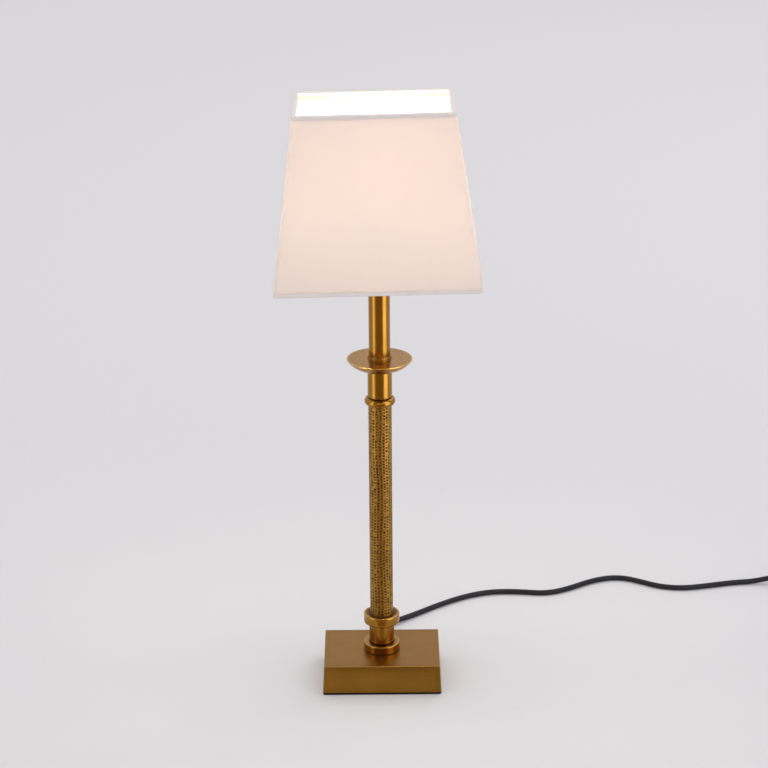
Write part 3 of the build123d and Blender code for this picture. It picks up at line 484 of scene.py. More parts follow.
def trim_cloth(graph, finish):
    """The rolled edge: the same fabric folded over, denser and a little darker, with a weak painted glow in
    its emission.
    """
    at = graph.place()
    fine = tuned(graph.noise(at, 1400.0, 2.0), 2.0)
    folds = tuned(graph.noise(at, 130.0, 3.0), 2.0)
    dark = scaled(finish.trim, 0.82)
    return graph.surface(
        base_color=graph.blend(fine * 0.5 + folds * 0.3, finish.trim, dark),
        roughness=0.93,
        sheen_weight=0.15,
        specular_ior_level=0.1,
        # painted glow: a weak emission in the low glow colour
        emission_color=finish.painted_glow_low,
        emission_strength=0.10,
        normal=graph.bump(fine * 0.5 + folds * 0.5, 0.00025, 0.6),
    )


def liner_sheet(graph, finish):
    """The white sheet that stiffens the shade."""
    at = graph.place()
    grain = tuned(graph.noise(at, 800.0, 2.0), 1.6)
    soft = scaled(finish.liner, 0.96)
    front = graph.surface(
        base_color=graph.blend(grain * 0.6, finish.liner, soft),
        roughness=0.55,
        specular_ior_level=0.2,
        normal=graph.bump(grain, 0.00002, 0.3),
    )
    return graph.lit_through(front, finish.glow)


def lead_sheath(graph, tint):
    """The lead's smooth sheath, with the slight waviness of its twisted cores."""
    at = graph.place()
    waves = graph.noise(at, 70.0, 2.0)
    dust = tuned(graph.noise(at, 500.0, 4.0), 3.0)
    pale = scaled(tint, 2.2, 0.004)
    return graph.surface(
        base_color=graph.blend(dust * 0.2, tint, pale),
        roughness=0.42 + dust * 0.16,
        specular_ior_level=0.3,
        normal=graph.bump(waves * 0.8 + dust * 0.2, 0.0003, 0.25),
    )


def moulded_plastic(graph, tint, rough=0.36):
    """Moulded plastic with a fine spark-eroded grain."""
    at = graph.place()
    grain = graph.noise(at, 2600.0, 2.0)
    clouds = tuned(graph.noise(at, 60.0, 3.0), 1.6)
    pale = scaled(tint, 1.35, 0.004)
    return graph.surface(
        base_color=graph.blend(clouds * 0.35, tint, pale),
        roughness=rough + clouds * 0.08,
        normal=graph.bump(grain, 0.00003, 0.5),
    )


def felt_pad(graph, tint):
    """Dense felt."""
    at = graph.place()
    fluff = tuned(graph.noise(at, 1500.0, 4.0, 0.7), 2.0)
    pale = scaled(tint, 2.5, 0.001)
    return graph.surface(
        base_color=graph.blend(fluff * 0.5, tint, pale),
        roughness=0.97,
        specular_ior_level=0.08,
        normal=graph.bump(fluff, 0.0004, 0.8),
    )


def clear_glass(graph):
    """The bulb's thin clear glass."""
    at = graph.place()
    wave = graph.noise(at, 60.0, 1.0)
    return graph.surface(
        base_color=graph.blend(wave * 0.1, (1.0, 0.99, 0.96), (0.95, 0.95, 0.93)),
        roughness=0.04,
        alpha=0.22,
        specular_ior_level=0.6,
        normal=graph.bump(wave, 0.0002, 0.1),
    )


def lit_filament(graph):
    """A coated light stick that glows."""
    at = graph.place()
    beads = tuned(graph.noise(at, 900.0, 1.0), 2.0)
    return graph.surface(
        base_color=graph.blend(beads * 0.4, (1.0, 0.72, 0.3), (1.0, 0.85, 0.5)),
        roughness=0.5,
        emission_color=graph.blend(beads * 0.5, (1.0, 0.72, 0.42), (1.0, 0.85, 0.62)),
        emission_strength=6.0,
    )


def stone_white(graph, tint, rough):
    """Unglazed ceramic or cast metal with fine pores."""
    at = graph.place()
    pores = tuned(graph.noise(at, 1100.0, 3.0), 2.4)
    dark = scaled(tint, 0.8)
    return graph.surface(
        base_color=graph.blend(pores * 0.5, tint, dark),
        roughness=rough + pores * 0.1,
        normal=graph.bump(pores, 0.00008, 0.5),
    )


def floor_surface(graph, stage):
    """The matt pale floor, which the camera and shiny pieces see a little more evenly than it is lit."""
    at = graph.place()
    cloud = graph.noise(at, 1.3, 2.0)
    warm = tuple(c * f for c, f in zip(stage.floor, (1.0, 0.995, 0.985)))
    lit = graph.surface(
        base_color=graph.blend(cloud * 0.6, stage.floor, warm),
        roughness=1.0,
        specular_ior_level=0.0,
    )
    even = graph.glow(stage.backdrop)
    rays = graph.add("ShaderNodeLightPath")
    seen = rays["Is Camera Ray"].most(rays["Is Glossy Ray"]).most(rays["Is Transmission Ray"])
    evenness = 0.12
    return graph.mixed(seen * evenness, lit, even)


paints = {}


def paint(name):
    """A material of the lamp by name, made when it is first asked for."""
    if name not in paints:
        scene = bpy.context.scene
        finish, stem, shade = scene.lamp_finishes, scene.lamp_stem, scene.lamp_shade
        recipes = {
            "turned_brass": lambda g: turned_brass(g, finish),
            "base_brass": lambda g: brushed_brass(g, finish, stem),
            "column_brass": lambda g: pitted_brass(g, finish),
            "shade_cloth": lambda g: shade_cloth(g, finish, shade),
            "shade_trim": lambda g: trim_cloth(g, finish),
            "shade_liner": lambda g: liner_sheet(g, finish),
            "white_wire": lambda g: moulded_plastic(g, (0.82, 0.82, 0.80), 0.4),
            "lead_sheath": lambda g: lead_sheath(g, finish.lead),
            "core_sheath": lambda g: lead_sheath(g, (0.16, 0.08, 0.04)),
            "black_plastic": lambda g: moulded_plastic(g, finish.plastic),
            "black_rubber": lambda g: moulded_plastic(g, finish.lead, 0.55),
            "holder_plastic": lambda g: moulded_plastic(g, finish.holder, 0.42),
            "zinc_steel": lambda g: plain_metal(g, (0.62, 0.63, 0.64), 0.32),
            "cast_weight": lambda g: stone_white(g, (0.06, 0.06, 0.062), 0.7),
            "contact_brass": lambda g: plain_metal(g, (0.83, 0.62, 0.30), 0.24),
            "bulb_metal": lambda g: plain_metal(g, (0.74, 0.74, 0.73), 0.22, 900.0),
            "pin_metal": lambda g: plain_metal(g, (0.80, 0.80, 0.80), 0.16, 900.0),
            "bulb_bead": lambda g: moulded_plastic(g, (0.02, 0.02, 0.02), 0.15),
            "bulb_glass": clear_glass,
            "bulb_filament": lit_filament,
            "ceramic_insert": lambda g: stone_white(g, (0.86, 0.84, 0.78), 0.6),
            "tie_fabric": lambda g: felt_pad(g, (0.02, 0.02, 0.022)),
            "felt_pad": lambda g: felt_pad(g, finish.felt),
        }
        paints[name] = make_material(name, recipes[name])
    return paints[name]


# ------------------------------------------------------------------------------------- meshes
def add_object(name, mesh):
    made = bpy.data.objects.new(name, mesh)
    bpy.context.scene.collection.objects.link(made)
    return made


def soften(mesh, angle):
    """Smooth shading, with edges sharper than an angle left crisp."""
    mesh.polygons.foreach_set("use_smooth", [True] * len(mesh.polygons))
    mesh.set_sharp_from_angle(angle=radians(angle))


def softened(name, bm, angle):
    """An object from a bmesh, with soft edges shaded smooth."""
    mesh = bpy.data.meshes.new(name)
    bm.to_mesh(mesh)
    bm.free()
    soften(mesh, angle)
    return add_object(name, mesh)


def shaped(name, bm, angle=34.0, outward=True):
    """An object from a bmesh, merged, facing outwards and smoothed."""
    bmesh.ops.remove_doubles(bm, verts=bm.verts, dist=1e-7)
    if outward:
        bmesh.ops.recalc_face_normals(bm, faces=bm.faces)
    return softened(name, bm, angle)


def evened(piece):
    """The piece with its flat faces kept flat where soft edges meet them."""
    even = piece.modifiers.new("even shading", "WEIGHTED_NORMAL")
    even.keep_sharp = True
    return piece


def finish(piece, body, slot, surface, *nodes):
    """Gives a piece its material and its body, and hides the solids that it stands for; the slot is not used.
    """
    piece.data.materials.clear()
    piece.data.materials.append(paint(surface))
    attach(piece, body)
    if nodes:
        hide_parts(*nodes)
    return piece


def skin(rows, closed_rows=False, closed_columns=True):
    """A bmesh over rows of points, each row as long as the next."""
    bm = bmesh.new()
    grid = [[bm.verts.new(p) for p in row] for row in rows]
    last_row = len(grid) if closed_rows else len(grid) - 1
    columns = len(grid[0])
    last_column = columns if closed_columns else columns - 1
    for i in range(last_row):
        below, above = grid[i], grid[(i + 1) % len(grid)]
        for j in range(last_column):
            k = (j + 1) % columns
            bm.faces.new((below[j], below[k], above[k], above[j]))
    return bm


def close_end(bm, ring):
    """A fan over an end ring of vertices."""
    middle = bm.verts.new(sum((v.co for v in ring), Vector()) / len(ring))
    for a, b in zip(ring, ring[1:] + ring[:1]):
        bm.faces.new((a, b, middle))


def close_both(bm, columns):
    """Fans over the first and the last row of a skin."""
    verts = list(bm.verts)
    close_end(bm, verts[:columns])
    close_end(bm, verts[-columns:])


def ring_about(point, across, up, radius, sides):
    """Points round a point, in the plane of two directions."""
    turns = [2 * pi * k / sides for k in range(sides)]
    return [point + across * (radius * cos(turn)) + up * (radius * sin(turn)) for turn in turns]


def corner_arcs(half_x, half_y, corner, steps):
    """The four rounded corners of a rectangle about the origin, one after the other."""
    arcs = []
    for quarter, (sx, sy) in enumerate(((1, 1), (-1, 1), (-1, -1), (1, -1))):
        turns = [(quarter + k / steps) * pi / 2 for k in range(steps + 1)]
        arcs.append([
            (sx * (half_x - corner) + corner * cos(turn), sy * (half_y - corner) + corner * sin(turn))
            for turn in turns
        ])
    return arcs


def rounded_outline(corners, steps=4):
    """Rounds the corners of a closed outline in the plane of radius and height.

    A corner is (radius, height, rounding, rub): rub is 1 where the edge is rubbed bright and -1
    where it is painted dark, as patina in the joints and as painted shade and reflection where
    pieces meet. Points beside each corner keep that to a narrow band."""
    points = []
    total = len(corners)
    band, room = 0.0014, 2.4
    for i, corner in enumerate(corners):
        r, z, rounding, rub = (*corner, 0.0, 0.0)[:4]
        here = Vector((r, z))
        before = Vector(corners[i - 1][:2]) - here
        after = Vector(corners[(i + 1) % total][:2]) - here
        near, far = before.length, after.length
        one, two = before.normalized(), after.normalized()
        half = one.angle(two) / 2 if near and far else pi / 2
        cut = min(rounding / tan(half), 0.45 * near, 0.45 * far) if rounding else 0.0
        if rub and near > room * (cut + band):
            points.append((*(here + one * (cut + band)), 0.0))
        if cut:
            radius = cut * tan(half)
            middle = here + (one + two).normalized() * (radius / sin(half))
            start, end = here + one * cut - middle, here + two * cut - middle
            turn = start.angle_signed(end)
            for k in range(steps + 1):
                angle = -turn * k / steps
                spoke = Vector((
                    start.x * cos(angle) - start.y * sin(angle),
                    start.x * sin(angle) + start.y * cos(angle),
                ))
                points.append((*(middle + spoke), rub))
        else:
            points.append((r, z, rub))
        if rub and far > room * (cut + band):
            points.append((*(here + two * (cut + band)), 0.0))
    return points


def lathe(name, corners, segments=128, middle=(0.0, 0.0), angle=34.0):
    """A closed piece turned about an upright axis from the corners of a closed outline."""
    outline = rounded_outline(corners)
    bm = bmesh.new()
    layer = bm.verts.layers.float.new("rub")
    rings = []
    for r, z, rub in outline:
        spots = 1 if r < 1e-7 else segments
        ring = []
        for k in range(spots):
            turn = 2 * pi * k / segments
            vert = bm.verts.new((middle[0] + r * cos(turn), middle[1] + r * sin(turn), z))
            vert[layer] = rub
            ring.append(vert)
        rings.append(ring)
    for a, b in zip(rings, rings[1:] + rings[:1]):
        if len(a) == 1 and len(b) == 1:
            continue
        for k in range(segments):
            n = (k + 1) % segments
            corners_here = [a[k % len(a)], a[n % len(a)], b[n % len(b)], b[k % len(b)]]
            bm.faces.new(list(dict.fromkeys(corners_here)))
    return shaped(name, bm, angle)


def frames_along(points, closed=False):
    """Two directions across a path at each of its points, carried along without twist."""
    total = len(points)
    headings = []
    for i in range(total):
        if closed:
            heading = points[(i + 1) % total] - points[i - 1]
        else:
            heading = points[min(i + 1, total - 1)] - points[max(i - 1, 0)]
        headings.append(heading.normalized())
    up = Vector((0, 0, 1)) if abs(headings[0].z) < 0.9 else Vector((1, 0, 0))
    frames = []
    for heading in headings:
        across = heading.cross(up).normalized()
        up = across.cross(heading).normalized()
        frames.append((across, up))
    return frames


def tube(name, points, radius, sides=20, closed=False, angle=50.0):
    """A round bar along a path of points. The radius is a number, or a list with one per point."""
    points = [Vector(p) for p in points]
    radii = radius if isinstance(radius, list) else [radius] * len(points)
    frames = frames_along(points, closed)
    rows = [ring_about(point, *pair, r, sides) for point, pair, r in zip(points, frames, radii)]
    bm = skin(rows, closed_rows=closed)
    if not closed:
        close_both(bm, sides)
    return shaped(name, bm, angle)


def joined(name, pieces):
    """Several objects as one, in place."""
    bm = bmesh.new()
    for piece in pieces:
        bm.from_mesh(piece.data)
        bpy.data.objects.remove(piece)
    return softened(name, bm, 34.0)


def smooth_copy(name, node, angle=34.0):
    """A merged copy of a solid's mesh, with soft edges shaded smooth and flat faces kept flat."""
    bm = bmesh.new()
    bm.from_mesh(solids[node].data)
    bmesh.ops.remove_doubles(bm, verts=bm.verts, dist=2e-6)
    bmesh.ops.dissolve_degenerate(bm, edges=bm.edges, dist=1e-6)
    return evened(softened(name, bm, angle))


def threaded(name, crest, depth, bottom, top, pitch, bore, sides=72):
    """An upright threaded tube whose outer wall winds up between a crest and a root."""
    rows_per_turn = 8
    rows = int(round((top - bottom) / pitch * rows_per_turn))
    outer = []
    for i in range(rows + 1):
        z = bottom + (top - bottom) * i / rows
        fade = min(1.0, (z - bottom) / pitch, (top - z) / pitch)
        row = []
        for k in range(sides):
            turn = k / sides
            wave = 0.5 - 0.5 * cos(2 * pi * ((z - bottom) / pitch - turn))
            r = crest - depth * (1 - fade * wave)
            row.append((r * cos(2 * pi * turn), r * sin(2 * pi * turn), z))
        outer.append(row)
    inner = [
        [(bore * cos(2 * pi * k / sides), bore * sin(2 * pi * k / sides), z) for k in range(sides)]
        for z in (top, bottom)
    ]
    return shaped(name, skin(outer + inner, closed_rows=True), 60.0)


# ------------------------------------------------------------------------------ geometry nodes
def new_tree(name, inputs):
    """An empty Geometry Nodes tree with a geometry input and named inputs of given kinds."""
    tree = bpy.data.node_groups.new(name, "GeometryNodeTree")
    tree.is_modifier = True
    tree.interface.new_socket("Geometry", in_out="INPUT", socket_type="NodeSocketGeometry")
    for label, kind in inputs:
        tree.interface.new_socket(label, in_out="INPUT", socket_type=kind)
    tree.interface.new_socket("Geometry", in_out="OUTPUT", socket_type="NodeSocketGeometry")
    graph = Graph(tree)
    return tree, graph, graph.add("NodeGroupInput")


def grown(piece, tree, values):
    """The piece after its Geometry Nodes tree has run, as a plain mesh."""
    step = piece.modifiers.new(tree.name, "NODES")
    step.node_group = tree
    for item in tree.interface.items_tree:
        if item.in_out == "INPUT" and item.name in values:
            step[item.identifier] = values[item.name]
    bpy.context.view_layer.update()
    ready = piece.evaluated_get(bpy.context.evaluated_depsgraph_get())
    mesh = bpy.data.meshes.new_from_object(ready)
    piece.modifiers.clear()
    piece.data = mesh
    return piece


def pattern_tree(name, kind):
    """Repeats the piece on the points of a circle, turned to face out, or of a line."""
    spread = {"circle": ("Radius", "NodeSocketFloat"), "line": ("Step", "NodeSocketVector")}[kind]
    inputs = [("Count", "NodeSocketInt"), spread, ("Material", "NodeSocketMaterial")]
    tree, graph, given = new_tree(name, inputs)
    turn = (0.0, 0.0, 0.0)
    if kind == "circle":
        points = graph.add(
            "GeometryNodeMeshCircle", {}, {"Vertices": given["Count"], "Radius": given["Radius"]}
        )[0]
        index = graph.add("GeometryNodeInputIndex")[0]
        turn = graph.vector(0.0, 0.0, index * (2 * pi) / given["Count"])
    else:
        points = graph.add(
            "GeometryNodeMeshLine", {}, {"Count": given["Count"], "Offset": given["Step"]}
        )[0]
    copies = graph.add(
        "GeometryNodeInstanceOnPoints",
        {},
        {"Points": points, "Instance": given["Geometry"], "Rotation": turn},
    )[0]
    real = graph.add("GeometryNodeRealizeInstances", {}, {0: copies})[0]
    done = graph.add("GeometryNodeSetMaterial", {}, {"Geometry": real, "Material": given["Material"]})[0]
    graph.add("NodeGroupOutput", {}, {"Geometry": done})
    return tree


def moved(piece, shift):
    """The piece with its mesh moved."""
    piece.data.transform(Matrix.Translation(shift))
    return piece


def pit_tree():
    """Presses irregular rows of small pits into the outside of an upright tube."""
    tree, graph, given = new_tree(
        "Column pits",
        [
            ("Around", "NodeSocketFloat"),
            ("Pitch", "NodeSocketFloat"),
            ("Depth", "NodeSocketFloat"),
            ("Ripple", "NodeSocketFloat"),
            ("Bottom", "NodeSocketFloat"),
            ("Top", "NodeSocketFloat"),
            ("Skin", "NodeSocketFloat"),
            ("Seed", "NodeSocketFloat"),
            ("Material", "NodeSocketMaterial"),
        ],
    )
    wander, soft_edge, end_fade, skin_fade = 2.2, 0.10, 0.0012, 0.0002
    x, y, z = graph.parts(graph.add("GeometryNodeInputPosition")[0])
    radius = (x * x + y * y) ** 0.5
    turn = x.maths("ARCTAN2", y, x) / (2 * pi) + 0.5
    # noise read on the cylinder itself closes at the seam
    drift = graph.noise(graph.vector(x * 60.0, y * 60.0, z * 22.0 + given["Seed"]), 1.0, 2.0)
    sway = graph.noise(graph.vector(x * 25.0, y * 25.0, z * 11.0 - given["Seed"]), 1.0, 2.0)
    across = turn * given["Around"] + (sway - 0.5) * wander
    column = across.maths("FLOORED_MODULO", across.whole(), given["Around"])
    stagger = graph.add(
        "ShaderNodeTexWhiteNoise", {"noise_dimensions": "1D"}, {"W": column + given["Seed"]}
    )["Value"]
    along = z / given["Pitch"] + stagger + (drift - 0.5) * wander
    chance = graph.add(
        "ShaderNodeTexWhiteNoise",
        {"noise_dimensions": "3D"},
        {"Vector": graph.vector(column, along.whole(), given["Seed"])},
    )
    one, two, three = graph.parts(chance["Color"])
    side = ((across - across.whole()) - 0.5 + (one - 0.5) * 0.12).size()
    up = ((along - along.whole()) - 0.5 + (two - 0.5) * 0.2).size()
    half_wide = 0.26 + one * 0.13
    half_tall = 0.27 + two * 0.17
    press = ((half_wide - side) / soft_edge).held() * ((half_tall - up) / soft_edge).held()
    # about one pit in four is shallow
    press = press * (0.25 + (three - 0.05) * 4.0).held()
    ends = ((z - given["Bottom"]) / end_fade).held() * ((given["Top"] - z) / end_fade).held()
    outside = ((radius - given["Skin"]) / skin_fade).held()
    press = press * ends * outside
    # low scales stand between the pits
    scale = ((1.0 - side * 2.0) * (1.0 - up * 1.6)).held()
    dip = press * given["Depth"] + (1.0 - scale) * given["Ripple"] * ends * outside
    outward = graph.vector(x / radius, y / radius, 0.0)
    shift = graph.add(
        "ShaderNodeVectorMath", {"operation": "SCALE"}, {"Vector": outward, "Scale": 0.0 - dip}
    )["Vector"]
    marked = graph.add(
        "GeometryNodeStoreNamedAttribute",
        {"data_type": "FLOAT", "domain": "POINT"},
        {"Geometry": given["Geometry"], "Name": "pit", "Value": press},
    )[0]
    pressed = graph.add("GeometryNodeSetPosition", {}, {"Geometry": marked, "Offset": shift})[0]
    done = graph.add("GeometryNodeSetMaterial", {}, {"Geometry": pressed, "Material": given["Material"]})[0]
    graph.add("NodeGroupOutput", {}, {"Geometry": done})
    return tree


# ----------------------------------------------------------------------------------- operators
class LAMP_OT_stage(bpy.types.Operator):
    """Make the floor, the lights and the camera"""

    bl_idname = "lamp.stage"
    bl_label = "Stage"

    def execute(self, context):
        stage = context.scene.lamp_stage
        self.place_camera(context, stage)
        lines, level = (-14.0, -1.0, 1.0, 14.0), -0.0002
        rows = [[(x, y, level) for x in lines] for y in lines]
        floor = shaped("floor", skin(rows, closed_columns=False))
        floor.data.materials.append(make_material("floor", lambda g: floor_surface(g, stage)))
        self.dim_side(stage)
        self.light_world(context, stage)
        self.light_room(stage)
        self.light_bulb(stage)
        context.scene.view_settings.view_transform = "Standard"
        return {"FINISHED"}

    def place_camera(self, context, stage):
        pitch, yaw, roll = stage.camera_pitch, stage.camera_yaw, stage.camera_roll
        ahead = Vector((-sin(yaw) * cos(pitch), cos(yaw) * cos(pitch), -sin(pitch)))
        right = ahead.cross(Vector((0, 0, 1))).normalized()
        up = right.cross(ahead)
        right, up = right * cos(roll) - up * sin(roll), up * cos(roll) + right * sin(roll)
        lens = bpy.data.cameras.new("camera")
        lens.lens, lens.sensor_width, lens.sensor_fit = stage.lens, 36.0, "HORIZONTAL"
        lens.clip_end = 60.0
        camera = add_object("camera", lens)
        turn = Matrix((right, up, -ahead)).transposed().to_4x4()
        camera.matrix_world = Matrix.Translation(stage.camera_place) @ turn
        context.scene.camera = camera

    def add_panel(self, name, place, target, extent, power, tint):
        lamp = bpy.data.lights.new(name, "AREA")
        lamp.shape, lamp.size, lamp.size_y = "RECTANGLE", extent[0], extent[1]
        lamp.energy, lamp.color = power, tint
        panel = add_object(name, lamp)
        aim = Vector(place) - Vector(target)
        panel.matrix_world = Matrix.Translation(place) @ aim.to_track_quat("Z", "Y").to_matrix().to_4x4()
        panel.visible_camera = False
        return panel

    def light_room(self, stage):
        """The overhead light, and three softboxes that only shiny pieces mirror."""
        self.add_panel(
            "overhead", (1.5, 1.8, 2.8), (0.0, 0.3, 0.1), (2.2, 2.2), stage.overhead, (0.96, 0.98, 1.06)
        )
        away, height, tall, cool, warm = 0.64, 0.66, 1.3, (0.95, 1.0, 1.12), (1.0, 0.85, 0.6)
        boxes = []
        for name, power, turn, width in (("right", stage.right, 58, 0.44), ("left", stage.left, -62, 0.24)):
            place = (away * sin(radians(turn)), -away * cos(radians(turn)), height)
            boxes.append(self.add_panel(name, place, (0, 0, height), (width, tall), power, cool))
        boxes.append(self.add_panel("front", (0, -0.56, 0.56), (0, 0, 0.35), (0.7, 0.14), stage.front, warm))
        for box in boxes:
            box.visible_diffuse = False

    def dim_side(self, stage):
        """The dim side of the room, low in front of the lamp, which only shiny pieces mirror."""
        edges, height = ((0.022, -0.104), (0.26, -0.3), (2.0, -2.6)), 0.001
        corners = [[(-half, y, height), (half, y, height)] for half, y in edges]
        dim = shaped("dim_side", skin(corners, closed_columns=False), outward=False)
        dim.data.materials.append(make_material("dim_side", lambda graph: graph.glow(stage.dim)))
        dim.visible_camera = dim.visible_diffuse = False
        dim.visible_shadow = dim.visible_transmission = False
        return dim

    def light_bulb(self, stage):
        """The lit bulb, and two weaker lights beside it that stand for what the white liner scatters."""
        low_corner, high_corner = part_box("bulb_filaments")
        bulb = (low_corner + high_corner) / 2
        out, down, warm, soft = 0.056, -0.05, (1.0, 0.90, 0.79), 0.012
        for shift, part in (((0, 0, 0), 0.46), ((out, 0, down), 0.30), ((-out, 0, down), 0.24)):
            lamp = bpy.data.lights.new("bulb light", "POINT")
            lamp.energy, lamp.color, lamp.shadow_soft_size = stage.bulb * part, warm, soft
            add_object("bulb light", lamp).location = bulb + Vector(shift)

    def light_world(self, context, stage):
        world = bpy.data.worlds.new("studio")
        world.use_nodes = True
        world.node_tree.nodes.clear()
        graph = Graph(world.node_tree)
        y = graph.parts(graph.add("ShaderNodeTexCoord")["Generated"])[1]
        rays = graph.add("ShaderNodeLightPath")
        # shiny pieces mirror a room whose front side is dim
        dark = scaled(stage.dim, 0.45)
        mirrored = graph.blend((y * 1.6 + 0.75).held(), dark, stage.room)
        tone = graph.blend(rays["Is Glossy Ray"], stage.room, mirrored)
        tone = graph.blend(rays["Is Camera Ray"], tone, stage.backdrop)
        back = graph.add("ShaderNodeBackground", {}, {"Color": tone, "Strength": 1.0})[0]
        graph.add("ShaderNodeOutputWorld", {}, {"Surface": back})
        context.scene.world = world


class LAMP_OT_lead(bpy.types.Operator):
    """Make the free lead, the lead in the base and the coil of the rest of it"""

    bl_idname = "lamp.lead"
    bl_label = "Lead"

    # the route on the floor, point by point, in millimetres
    route = (
        (0, 73.95, 10), (0, 92, 10), (8, 111, 5.6), (30, 131.5, 2.9), (62, 160, 2.9), (91, 181, 2.9),
        (120, 192.5, 2.9), (150, 192, 2.9), (180, 186.5, 2.9), (204, 197.5, 2.9), (230, 217, 2.9),
        (251, 226, 2.9), (269, 225.5, 2.9), (287, 215, 2.9), (306, 202, 2.9), (331, 197, 2.9),
        (360, 203.5, 2.9), (388, 211, 2.9), (411, 213.5, 2.9), (431, 212.5, 8), (447, 212.5, 8),
    )
    points_per_turn = 24

    def execute(self, context):
        lead = context.scene.lamp_lead
        free_points = [tuple(c * MM for c in point) for point in self.route]
        free = self.spline("lead_free", free_points, lead.radius)
        finish(free, "lamp", "black_lead", "lead_sheath", "cord_free")
        coil_points = self.coil_route(lead)
        coil = self.spline("lead_coil", coil_points, lead.radius)
        finish(coil, "lamp", "black_lead", "lead_sheath", "cord_coil")
        free_points[0]
        coil_points[0]
        self.inside(lead)
        return {"FINISHED"}

    def spline(self, name, points, radius):
        line = bpy.data.curves.new(name, "CURVE")
        line.dimensions = "3D"
        line.bevel_depth, line.bevel_resolution = radius, 5
        line.resolution_u, line.use_fill_caps = 6, True
        path = line.splines.new("NURBS")
        path.points.add(len(points) - 1)
        for spot, point in zip(path.points, points):
            spot.co = (*point, 1.0)
        path.use_endpoint_u = True
        path.order_u = 3
        return add_object(name, line)

    def coil_route(self, lead):
        """Straight out of the switch, round the coil in on the floor and out on top, to the plug."""
        pitch = 2 * lead.radius + lead.coil_gap
        turns = lead.coil_turns
        ramp = (turns - 0.5) / 2
        inner = lead.coil_radius - pitch * ramp / 2
        low_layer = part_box("cord_coil")[0].z + lead.radius
        switch_box, plug_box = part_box("switch_base"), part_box("plug_relief")
        start = Vector((switch_box[1].x, (switch_box[0].y + switch_box[1].y) / 2, 0.008))
        end = (plug_box[0] + plug_box[1]) / 2
        end.x = plug_box[1].x
        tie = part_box("coil_tie")
        centre = Vector((end.x + lead.lead_in + 2 * lead.radius, (tie[0].y + tie[1].y) / 2, 0))
        # the spline runs inside its points, which stand a little further out than the lead
        stretch = 1 / cos(pi / self.points_per_turn)
        straight = Vector((0.009, 0, 0))
        points = [start, start + straight]
        total = int(turns * self.points_per_turn)
        for k in range(total + 1):
            at = turns * k / total
            past = at - ramp
            if past <= 0:
                radius, height = inner - pitch * past, low_layer
            elif past < 0.5:
                radius = inner - pitch * past + 2 * pitch * past**2
                rise = 2 * past
                height = low_layer + pitch * rise**2 * (3 - 2 * rise)
            else:
                radius, height = inner + pitch * (past - 0.5), low_layer + pitch
            angle = pi / 2 - 2 * pi * at
            spoke = radius * stretch
            points.append(centre + Vector((spoke * cos(angle), spoke * sin(angle), height)))
        points += [end + straight, end]
        return [tuple(p) for p in points]

    def inside(self, lead):
        """The lead in the base and its two cores up the rod."""
        a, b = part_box("cord_inside")
        z = (a.z + b.z) / 2
        sheath = tube(
            "lead_in_base",
            [(0, a.y + (b.y - a.y) * k / 8, z) for k in range(9)],
            [lead.radius * (0.9 if k == 0 else 1.0) for k in range(9)],
            24,
        )
        finish(sheath, "lamp", "black_lead", "lead_sheath", "cord_inside")
        top = high("lamp_wires")
        core, apart, bend = 0.0011, 0.0015, 0.0065
        cores = []
        for side in (-1, 1):
            x = side * apart
            path = [(x, a.y - 0.0002, z), (x, a.y * 0.7, z)]
            path += [
                (x, bend * (1 - sin(t)), z + bend * (1 - cos(t))) for t in [k * pi / 16 for k in range(9)]
            ]
            path += [(x, 0.0, z + bend + (top - z - bend) * k / 12) for k in range(1, 13)]
            cores.append(tube(f"core{side}", path, core, 14))
        finish(joined("lamp_cores", cores), "lamp", "core_insulation", "core_sheath", "lamp_wires")


class LAMP_OT_base(bpy.types.Operator):
    """Make the brass base and the felt under it"""

    bl_idname = "lamp.base"
    bl_label = "Base"

    def execute(self, context):
        stem = context.scene.lamp_stem
        finish(self.block(stem), "lamp", "antique_brass", "base_brass", "base_shell")
        felt = self.felt()
        finish(felt, "lamp", "black_felt", "felt_pad", "foot_pad")
        return {"FINISHED"}

    def block(self, stem):
        a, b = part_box("base_shell")
        bm = bmesh.new()
        top = self.corners(stem.base_top_width / 2, stem.base_top_depth / 2)
        lower = [bm.verts.new((x, y, a.z)) for x, y in self.corners(b.x, b.y)]
        upper = [bm.verts.new((x, y, b.z)) for x, y in top]
        bm.faces.new(upper)
        for k in range(4):
            n = (k + 1) % 4
            bm.faces.new((lower[k], lower[n], upper[n], upper[k]))
        keen = [e for e in bm.edges if any(v.co.z > a.z + 1e-6 for v in e.verts)]
        bmesh.ops.bevel(bm, geom=keen, offset=stem.base_edge, segments=5, profile=0.5, affect="EDGES")
        for v in bm.verts:
            v.co.z = max(v.co.z, a.z)
        block = shaped("brass_base", bm, 40.0)
        wall = block.modifiers.new("wall", "SOLIDIFY")
        wall.thickness, wall.offset, wall.use_even_offset = stem.base_wall, -1.0, True
        return evened(block)

    def corners(self, x, y):
        return [(x, y), (-x, y), (-x, -y), (x, -y)]

    def felt(self):
        """A felt pad with softly crushed sides."""
        a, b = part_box("foot_pad")
        tall, corner = b.z - a.z, 0.0016
        profile = [
            (-0.0007, 0.0), (-0.0002, 0.0003), (0.0, 0.0009), (0.0, tall - 0.0008), (-0.0003, tall - 0.00002),
        ]
        rows = [self.loop(b.x + inset, b.y + inset, corner, z) for inset, z in profile]
        bm = skin(rows)
        close_both(bm, len(rows[0]))
        return shaped("felt_pad", bm, 60.0)

    def loop(self, x, y, corner, z):
        return [(*spot, z) for arc in corner_arcs(x, y, corner, 6) for spot in arc]


